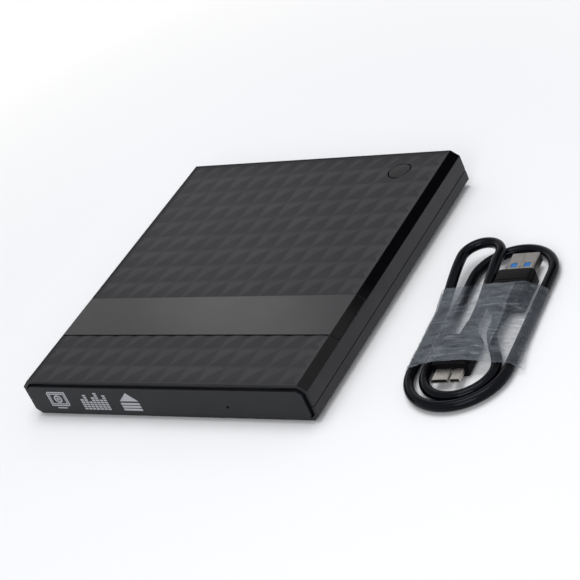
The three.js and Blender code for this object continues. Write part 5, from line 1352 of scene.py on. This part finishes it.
# The plug board's flat ribbon lies on the pan under the tray. It is a strip of pale film over rows of
# flat conductors, with a blue stiffener and bare contacts at each end.
ribbon_low, ribbon_high = corners_of("ribbon_cable")
ribbon_film = finish("ribbon_film", srgb(214, 208, 190), 0.3, coat=0.3)
mottled(ribbon_film, srgb(206, 198, 178), srgb(222, 217, 202), 4 * mm)
uneven_gloss(ribbon_film, 0.24, 0.38, 6 * mm)
grain(ribbon_film, 0.6 * mm, 0.01 * mm, (1, 0.2, 1))
conductors, ribbon_margin, ribbon_sheet, ribbon_rise = 32, 0.5 * mm, 0.2 * mm, 0.07 * mm
conductor_shares = ((0.85, 0), (0.7, 1), (0.3, 1), (0.15, 0))
ribbon_pitch = (ribbon_high.x - ribbon_low.x - 2 * ribbon_margin) / conductors
ribbon_crown = ribbon_low.z + ribbon_sheet
across_ribbon = [
    (ribbon_low.x, ribbon_low.z), (ribbon_high.x, ribbon_low.z), (ribbon_high.x, ribbon_crown),
    *((ribbon_low.x + ribbon_margin + (k + share) * ribbon_pitch, ribbon_crown + ribbon_rise * raised)
      for k in reversed(range(conductors)) for share, raised in conductor_shares),
    (ribbon_low.x, ribbon_crown),
]
bare_end, stiffener_lap, stiffener_inset, stiffener_sheet = 2.6 * mm, 0.2 * mm, 0.1 * mm, 0.16 * mm
contact_lift, contact_share = 0.14 * mm, 0.6
ribbon_start, ribbon_end = ribbon_low.y + bare_end, ribbon_high.y - bare_end
piece("flat_ribbon", smooth(prism(across_ribbon, ribbon_start, ribbon_end), angle=20), ribbon_film, "shell",
      ["ribbon_cable"])
stiffener_blue = plain_resin("stiffener_blue", (44, 84, 150), 0.4)
for end_name, y0, y1, lap_0, lap_1 in (
    ("front", ribbon_low.y, ribbon_start, 0, stiffener_lap),
    ("rear", ribbon_end, ribbon_high.y, stiffener_lap, 0),
):
    backing = block((ribbon_low.x + stiffener_inset, y0 - lap_0, ribbon_low.z),
                    (ribbon_high.x - stiffener_inset, y1 + lap_1, ribbon_low.z + stiffener_sheet))
    piece("ribbon_stiffener_" + end_name, shaped(backing, edge=0.03 * mm), stiffener_blue, "shell")
    piece("ribbon_contacts_" + end_name,
          contacts((ribbon_low.x + ribbon_high.x) / 2, ribbon_low.z + contact_lift, y0, y1,
                   ribbon_pitch, contact_share * ribbon_pitch, conductors),
          leg_tin, "shell")

# The tray is pushed out by a steel rod with a collar, under a coiled spring of music wire. The spring
# is pressed between the collar and the pan's rear wall.
rearward = Vector((0, 1, 0))
push_low, push_high = corners_of("eject_rod")
spring_low, spring_high = corners_of("eject_spring")
push_start = Vector(((push_low.x + push_high.x) / 2, push_low.y, (push_low.z + push_high.z) / 2))
push_length, push_radius, push_tip = push_high.y - push_low.y, 0.9 * mm, 0.3 * mm
collar_gap, collar_radius, collar_edge = 0.3 * mm, 1.9 * mm, 0.2 * mm
collar_length = spring_low.y - push_low.y - collar_gap
push_profile = [
    (0, collar_radius - collar_edge), (collar_edge, collar_radius),
    (collar_length - collar_edge, collar_radius), (collar_length, collar_radius - collar_edge),
    (collar_length, push_radius), (push_length - push_tip, push_radius),
    (push_length, push_radius - push_tip),
]
piece("push_rod", turned_along(push_start, rearward, push_profile), ground_steel, "shell",
      ["eject_rod"])
spring_wire, spring_turns, coil_steps, wire_sides, closed_share = 0.42 * mm, 9, 28, 10, 0.25
spring_radius = (spring_high.z - spring_low.z) / 2 - spring_wire / 2
spring_length = spring_high.y - spring_low.y - spring_wire
spring_rings = []
for i in range(spring_turns * coil_steps + 1):
    share = i / (spring_turns * coil_steps)
    closing = 0.5 - 0.5 * math.cos(math.pi * share)
    at = spring_wire / 2 + spring_length * ((1 - closed_share) * share + closed_share * closing)
    angle = 2 * math.pi * i / coil_steps
    out = Vector((math.cos(angle), 0, math.sin(angle)))
    centre = Vector((push_start.x, spring_low.y + at, push_start.z)) + out * spring_radius
    spring_rings.append([
        centre + spring_wire / 2 * (math.cos(a) * out + math.sin(a) * rearward)
        for a in full_round(wire_sides)
    ])
spring_steel = drawn_metal("spring_steel", (150, 152, 156), 0.24, 0.2 * mm, (1, 1, 1), 0.05 * mm)
piece("push_spring", smooth(skin(spring_rings), angle=60), spring_steel, "shell",
      ["eject_spring"])

# The tray's front is a moulded bezel that closes the shell's front opening, with a narrow gap all
# round. It carries the pinhole for emergency ejecting and three small marks printed in pale ink.
bezel_proud, bezel_inset, bezel_edge = 1.15 * mm, 2.35 * mm, 0.3 * mm
bezel_back = corners_of("tray_bezel")[1].y - shell_low.y
pinhole_x, pinhole_z, pinhole_radius = 31.8 * mm, 6.8 * mm, 0.65 * mm


def lying(x, z, y0, y1, radius, sides=32):
    """A round solid along Y."""
    return prism([(x + radius * math.cos(a), z + radius * math.sin(a)) for a in full_round(sides)], y0, y1)


bezel_plastic = moulded_black("bezel_plastic", (19, 20, 24), 0.38, 0.3 * mm, 0.015 * mm, specular=0.22)
bezel_blank = prism(drawn_in(shell_outline, bezel_inset), -bezel_proud, bezel_back)
pinhole = lying(pinhole_x, pinhole_z, -2 * overrun, bezel_back + overrun, pinhole_radius)
piece("front_bezel", shaped(bezel_blank, cut=[pinhole], edge=bezel_edge, segments=3), bezel_plastic,
      "tray_unit", ["tray_bezel"], drive_place)

pale_ink = finish("pale_ink", srgb(158, 160, 164), 0.5)
mottled(pale_ink, srgb(146, 148, 152), srgb(170, 172, 176), 0.6 * mm)
grain(pale_ink, 0.2 * mm, 0.006 * mm)
ink_proud, ink_sunk, ink_sides = 0.03 * mm, 0.02 * mm, 40
ink_front, ink_back = -bezel_proud - ink_proud, -bezel_proud + ink_sunk


def printed(name, solids):
    """A mark printed on the bezel, as thin as ink."""
    mesh = smooth(together(name, solids))
    return piece(name, mesh, pale_ink, "tray_unit", (), drive_place)


def inked_bar(x0, z0, x1, z1):
    """A straight bar of ink."""
    return block((x0, ink_front, z0), (x1, ink_back, z1))


def inked_ring(x, z, outer, inner):
    """A round line of ink."""
    hole = lying(x, z, ink_front - overrun, ink_back + overrun, inner, ink_sides)
    return shaped(lying(x, z, ink_front, ink_back, outer, ink_sides), cut=[hole], flat_faces=False)


def inked_frame(corners, outer, inner):
    """A closed line of ink between two insets of the same corners."""
    hole = prism(drawn_in(corners, inner), ink_front - overrun, ink_back + overrun)
    return shaped(prism(drawn_in(corners, outer), ink_front, ink_back), cut=[hole], flat_faces=False)


disc_mark_x, disc_mark_z = -55.5 * mm, 9.2 * mm
frame_half_width, frame_half_height, frame_line, frame_gap = 5.1 * mm, 3.9 * mm, 0.62 * mm, 0.35 * mm
second_outer, second_inner = frame_line + frame_gap, 2 * frame_line + 0.25 * mm
frame_corners = [
    (disc_mark_x + x * frame_half_width, disc_mark_z + z * frame_half_height)
    for x, z in ((-1, 0.78), (-1, -1), (0.82, -1), (1, -0.78), (1, 1), (-0.82, 1))
]
stand_half, stand_top, stand_bottom = 2.6 * mm, disc_mark_z - 4.6 * mm, disc_mark_z - 5.2 * mm
disc_rings = ((2.1 * mm, 1.35 * mm), (0.85 * mm, 0.3 * mm))
printed("disc_mark", [
    inked_frame(frame_corners, 0, frame_line),
    inked_frame(frame_corners, second_outer, second_inner),
    *(inked_ring(disc_mark_x, disc_mark_z, outer, inner) for outer, inner in disc_rings),
    inked_bar(disc_mark_x - stand_half, stand_bottom, disc_mark_x + stand_half, stand_top),
])

# The middle mark is a level meter, columns of short bars, and the right one is the eject sign, a
# triangle over bars.
bars_x, bars_z = -36.1 * mm, 8.4 * mm
column_heights = (5, 7, 4, 6, 8, 5, 7)
bar_columns, bar_rows = len(column_heights), max(column_heights)
bar_pitch_x, bar_pitch_z, bar_gap = 2.08 * mm, 1.2 * mm, 0.2 * mm
printed("bar_mark", [
    inked_bar(bars_x + (column - bar_columns / 2) * bar_pitch_x + bar_gap,
              bars_z + (row - bar_rows / 2) * bar_pitch_z + bar_gap,
              bars_x + (column + 1 - bar_columns / 2) * bar_pitch_x - bar_gap,
              bars_z + (row + 1 - bar_rows / 2) * bar_pitch_z - bar_gap)
    for column, height in enumerate(column_heights) for row in range(height)
])

eject_x, eject_z, eject_half, eject_foot = -17.3 * mm, 8.4 * mm, 4.9 * mm, 0.4 * mm
rule_top, rule_height, rule_pitch = 0.45 * mm, 1.1 * mm, 1.55 * mm
triangle = [(eject_x - eject_half, eject_z + eject_foot), (eject_x + eject_half, eject_z + eject_foot),
            (eject_x, eject_z + eject_half)]
printed("eject_mark", [
    prism(triangle, ink_front, ink_back),
    *(inked_bar(eject_x - eject_half, eject_z - rule_top - rule_height - rule_pitch * k,
                eject_x + eject_half, eject_z - rule_top - rule_pitch * k) for k in range(3)),
])

# The lid is moulded in black plastic. Its top carries a field of very low four-sided pyramids, set in
# a shallow pocket behind a fine groove, and its two long edges are leaning and polished.
lid_half = half_width - top_lean
columns, row_pitch, pyramid_rise, ridge_easing = 14, 11.02 * mm, 0.6 * mm, 0.75 * mm
valley_z = shell_height - pyramid_rise
rim_depth, groove_width, groove_depth = 0.8 * mm, 0.5 * mm, 0.9 * mm
rim_width, rim_slope, below_rim = 0.5 * mm, 1.5 * mm, 0.02 * mm
field_front, field_rear = rim_depth + groove_width, shell_depth - rim_width
field_half, field_root, pocket_gap = lid_half - rim_width, 0.5 * mm, 0.1 * mm
band_front, band_rear, band_clearance = 30 * mm, 55.2 * mm, 0.05 * mm
band_thickness, band_gap = 0.6 * mm, 0.3 * mm


def pyramid_field():
    """One slab with a pyramid on each cell of the grid, its ridges and valleys softly rounded."""
    made = bmesh.new()
    pitch = 2 * lid_half / columns
    rows = math.ceil(shell_depth / row_pitch)
    grid = [[made.verts.new((-lid_half + c * pitch, r * row_pitch, valley_z)) for c in range(columns + 1)]
            for r in range(rows + 1)]
    slopes = set()
    for r in range(rows):
        for c in range(columns):
            peak = made.verts.new((
                -lid_half + (c + 0.5) * pitch, (r + 0.5) * row_pitch, valley_z + pyramid_rise,
            ))
            corners = [grid[r][c], grid[r][c + 1], grid[r + 1][c + 1], grid[r + 1][c]]
            for k in range(4):
                slopes.add(made.faces.new((corners[k], corners[(k + 1) % 4], peak)))
    edge = [*grid[0], *(row[-1] for row in grid[1:-1]), *reversed(grid[-1]),
            *(row[0] for row in reversed(grid[1:-1]))]
    foot = [made.verts.new((v.co.x, v.co.y, valley_z - field_root)) for v in edge]
    for k in range(len(edge)):
        after = (k + 1) % len(edge)
        made.faces.new((edge[after], edge[k], foot[k], foot[after]))
    made.faces.new(foot)
    bmesh.ops.recalc_face_normals(made, faces=made.faces)
    soft = [e for e in made.edges if len(e.link_faces) == 2 and slopes.issuperset(e.link_faces)]
    bmesh.ops.bevel(made, geom=soft, offset=ridge_easing, segments=3, profile=0.5, affect="EDGES",
                    clamp_overlap=True)
    return meshed(made, "pyramid_field")


def across_lid(y0, y1, z0):
    """A block over the whole width of the lid, from a height to above its top."""
    return block((-wide, y0, z0), (wide, y1, shell_height + overrun))


def rim_ramp(corner, along, inward):
    """A slope from the narrow rim down to the valleys, so that the field has no step round it."""
    drop = Vector((0, 0, -field_root))
    return skin([
        [foot + drop, foot + Vector((0, 0, pyramid_rise - below_rim)), foot + inward * rim_slope,
         foot + inward * rim_slope + drop] for foot in (corner, corner + along)
    ])


front_field_end, rear_field_start = band_front - band_clearance, band_rear + band_clearance
below_field, beyond_field = valley_z - overrun, shell_depth + 3 * row_pitch
spare_field = [
    across_lid(-overrun, field_front, below_field),
    across_lid(front_field_end, rear_field_start, below_field),
    across_lid(field_rear, beyond_field, below_field),
    block((-wide, -overrun, below_field), (-field_half, beyond_field, shell_height + overrun)),
    block((field_half, -overrun, below_field), (wide, beyond_field, shell_height + overrun)),
]
lengthways = Vector((0, shell_depth, 0))
ramps = [
    rim_ramp(Vector((-lid_half, 0, valley_z)), lengthways, Vector((1, 0, 0))),
    rim_ramp(Vector((lid_half, 0, valley_z)), lengthways, Vector((-1, 0, 0))),
    rim_ramp(Vector((-lid_half, shell_depth, valley_z)), Vector((2 * lid_half, 0, 0)), Vector((0, -1, 0))),
]
field = shaped(pyramid_field(), cut=spare_field, joined=ramps, flat_faces=False)
pocket = block((-field_half, rim_depth, valley_z - pocket_gap),
               (field_half, field_rear, shell_height + overrun))
groove = block((-field_half, rim_depth, shell_height - groove_depth),
               (field_half, field_front, shell_height + overrun))
under_band = prism(drawn_in(shell_outline, band_thickness + band_gap), band_front - overrun,
                   band_rear + overrun)
below_edges = block((-2 * wide, -overrun, -2 * overrun), (2 * wide, shell_depth, shell_height - top_drop))
band_recess = shaped(prism(drawn_in(shell_outline, -overrun), band_front, band_rear),
                     cut=[under_band, below_edges], flat_faces=False)
button_x, button_y = half_width - 23.3 * mm, shell_depth - 13 * mm
button_radius, button_gap, button_sides = 5.1 * mm, 0.4 * mm, 96
button_hole = upright(button_x, button_y, 0, shell_height + overrun, button_radius + button_gap,
                      button_sides)

lid_satin = finish("lid_satin", srgb(38, 38, 40), 0.47, specular=0.14)
mottled(lid_satin, srgb(37, 37, 39), srgb(40, 40, 42), 12 * mm)
uneven_gloss(lid_satin, 0.44, 0.5, 16 * mm)
grain(lid_satin, 0.35 * mm, 0.006 * mm)
polished_black = finish("polished_black", srgb(6, 6, 8), 0.1, specular=0.16)
mottled(polished_black, srgb(5, 5, 7), srgb(8, 8, 10), 15 * mm)
uneven_gloss(polished_black, 0.09, 0.16, 12 * mm)
grain(polished_black, 2.5 * mm, 0.003 * mm)

lid_cuts = [inside, below_parting, socket_opening, pocket, groove, band_recess, button_hole]
plain_lid = shaped(prism(shell_outline, 0, shell_depth), cut=lid_cuts, edge=0.16 * mm, flat_faces=False)
lid_mesh = shaped(plain_lid, joined=[shaped(field, cut=[button_hole], flat_faces=False)])


lean_least = 0.3


def polish_edges(mesh):
    """Gives the leaning edges the polished finish and the walls below them the side's."""
    for face in mesh.polygons:
        leans = abs(face.normal.x) > lean_least and face.normal.z > lean_least
        leaning = leans and abs(face.center.x) > lid_half
        upright_wall = face.center.z < shell_height - top_drop and abs(face.normal.z) < lean_least
        face.material_index = 1 if leaning else 2 if upright_wall else 0


piece("pyramid_lid", lid_mesh, lid_satin, "shell", ["top_shell"], drive_place)
lid_mesh.materials.append(polished_black)
lid_mesh.materials.append(side_plastic)
polish_edges(lid_mesh)

# A smooth band of thin moulded plastic is let into the lid from edge to edge, near the front, and
# follows the lid over its leaning edges.
band_satin = finish("band_satin", srgb(32, 32, 34), 0.28, specular=0.3)
mottled(band_satin, srgb(30, 30, 32), srgb(35, 35, 37), 18 * mm)
uneven_gloss(band_satin, 0.26, 0.3, 20 * mm)
grain(band_satin, 0.3 * mm, 0.003 * mm)
band_sheet = prism(drawn_in(shell_outline, band_thickness), band_front, band_rear)
below_band = block((-wide, 0, -overrun), (wide, shell_depth, shell_height - top_drop + band_gap))
band_mesh = shaped(prism(shell_outline, band_front + band_gap, band_rear - band_gap),
                   cut=[band_sheet, below_band], edge=0.12 * mm)
piece("smooth_strip", band_mesh, band_satin, "shell", ["smooth_band"], drive_place)
band_mesh.materials.append(polished_black)
polish_edges(band_mesh)

# The eject button is a round cap just below the lid's surface, moulded in black plastic with a soft
# edge. Its stem reaches down to the switch inside.
button_low, button_high = corners_of("eject_button")
stem_end, button_top = button_low.z - shell_low.z, button_high.z - shell_low.z
button_edge, button_thickness, stem_radius = 0.7 * mm, 1.8 * mm, 1.7 * mm
button_satin = moulded_black("button_satin", (24, 24, 26), 0.4, 0.3 * mm, 0.01 * mm, specular=0.16)
button_profile = [
    (0, stem_end), (stem_radius, stem_end), (stem_radius, button_top - button_thickness),
    (button_radius, button_top - button_thickness),
    *rounded_corner(button_radius, button_top, button_edge, steps=6), (0, button_top),
]
piece("button_cap", turned(button_profile, (button_x, button_y), button_sides), button_satin, "button_unit",
      ["eject_button"], drive_place)

# The floor is a broad pale sheet that keeps the shadows and fades into the white round it. The pale
# room beyond it lights the drive evenly from all sides.
floor_reach, floor_sides, floor_drop = 2.2, 64, 0.2 * mm
fade_start, fade_end = 0.16, 0.34
room_tone, room_strength = (0.8, 0.82, 0.86), 0.5

floor_sheet = finish("floor_sheet", (0.86, 0.86, 0.87), 0.9, specular=0.1)
floor_tree = floor_sheet.node_tree
floor_distance = shading(floor_tree, "VectorMath", {0: own_place(floor_tree)}, "LENGTH")["Value"]
floor_mix = shading(floor_tree, "MixShader", {
    "Fac": in_range(floor_tree, floor_distance, fade_start, fade_end, 0, 1),
    1: shader_of(floor_sheet).outputs["BSDF"],
    2: shading(floor_tree, "Emission", {"Strength": 1})["Emission"],
})["Shader"]
floor_tree.links.new(floor_mix, floor_tree.nodes["Material Output"].inputs["Surface"])

floor_round = bmesh.new()
bmesh.ops.create_circle(floor_round, cap_ends=True, radius=floor_reach, segments=floor_sides)
bmesh.ops.translate(floor_round, verts=floor_round.verts, vec=(0, 0, -floor_drop))
floor = placed("floor", meshed(floor_round, "disc"))
floor.data.materials.append(floor_sheet)

world = bpy.data.worlds.new("room")
bpy.context.scene.world = world
world.use_nodes = True
room_tree = world.node_tree
room_light = room_tree.nodes["Background"]
room_light.inputs["Color"].default_value = (*room_tone, 1)
room_light.inputs["Strength"].default_value = room_strength
rays = shading(room_tree, "LightPath")
seen = rays["Is Camera Ray"]
for ray in ("Is Glossy Ray", "Is Transmission Ray"):
    seen = shading(room_tree, "Math", {0: seen, 1: rays[ray]}, "MAXIMUM")["Value"]
room_mix = shading(room_tree, "MixShader", {
    "Fac": seen, 1: room_light.outputs["Background"],
    2: shading(room_tree, "Background", {"Color": (1, 1, 1, 1)})["Background"],
})["Shader"]
room_tree.links.new(room_mix, room_tree.nodes["World Output"].inputs["Surface"])

# A black card out of view to the right keeps the polished edge dark behind the band, as in a studio.
# It is turned so that its own edge is seen along the lid's, and it shows in reflections only.
card_reach, card_half, card_length = 0.5, 0.12, 0.25
edge_point, edge_sight = Vector((0.0707, -0.021, 0.0171)), Vector((0.4395, 0.6432, 0.6283))
card_along = (Vector((0, 1, 0)) - edge_sight.y * edge_sight).normalized()
card_across = edge_sight.cross(card_along)
card_corner = edge_point + card_reach * edge_sight


def reflected_card(name, corners, tone=None):
    """A flat card that shows only in what reflects it, black or with an even tone."""
    mesh = bpy.data.meshes.new(name)
    mesh.from_pydata(corners, [], [(0, 1, 2, 3)])
    surface = finish(name, (0.0, 0.0, 0.0), 1.0, specular=0.0)
    if tone:
        shader_of(surface).inputs["Emission Color"].default_value = (*tone, 1)
        shader_of(surface).inputs["Emission Strength"].default_value = 1
    mesh.materials.append(surface)
    card = placed(name, mesh)
    card.visible_camera = card.visible_diffuse = card.visible_shadow = card.visible_transmission = False


reflected_card("black_card", [
    card_corner + across * card_half * card_across + along * card_length * card_along
    for across, along in ((-1, 0), (1, 0), (1, 1), (-1, 1))
])

# A grey flag hangs high behind the left. The lid's facets that lean towards the viewer reflect it,
# and those that lean away reflect the pale room below it, which draws the pattern.
flag_reach, flag_half = 0.75, 0.6
flag_low, flag_high = math.radians(34), math.radians(80)
flag_way, flag_across = Vector((-0.663, 0.749, 0)), Vector((0.749, 0.663, 0))
flag_tone = (0.62, 0.62, 0.63)
reflected_card("grey_flag", [
    flag_reach * (math.cos(height) * flag_way + Vector((0, 0, math.sin(height)))) + side * flag_across
    for height, side in ((flag_low, -flag_half), (flag_low, flag_half), (flag_high, flag_half),
                         (flag_high, -flag_half))
], flag_tone)

# The light is a wide soft box straight above, a weaker one from the front right, and a small one low
# behind the left that puts a soft sheen on the band.


def soft_box(name, place, aim, width, height, power):
    """A flat soft lamp that faces a point."""
    light = bpy.data.lights.new(name, "AREA")
    light.shape = "RECTANGLE"
    light.size, light.size_y = width, height
    light.energy = power
    lamp = placed(name, light)
    lamp.location = place
    lamp.rotation_mode = "QUATERNION"
    lamp.rotation_quaternion = (Vector(aim) - Vector(place)).to_track_quat("-Z", "Y")
    lamp.visible_camera = False


middle_of_scene, middle_of_band = (0, 0, 0), (0.013, -0.034, 0.018)
soft_box("overhead_box", (0.05, 0.05, 1.1), middle_of_scene, width=0.9, height=0.7, power=7.4)
soft_box("front_box", (0.5, -0.9, 0.6), middle_of_scene, width=0.7, height=0.5, power=5)
soft_box("sheen_box", (-0.173, 0.168, 0.182), middle_of_band, width=0.08, height=0.08, power=0.022)
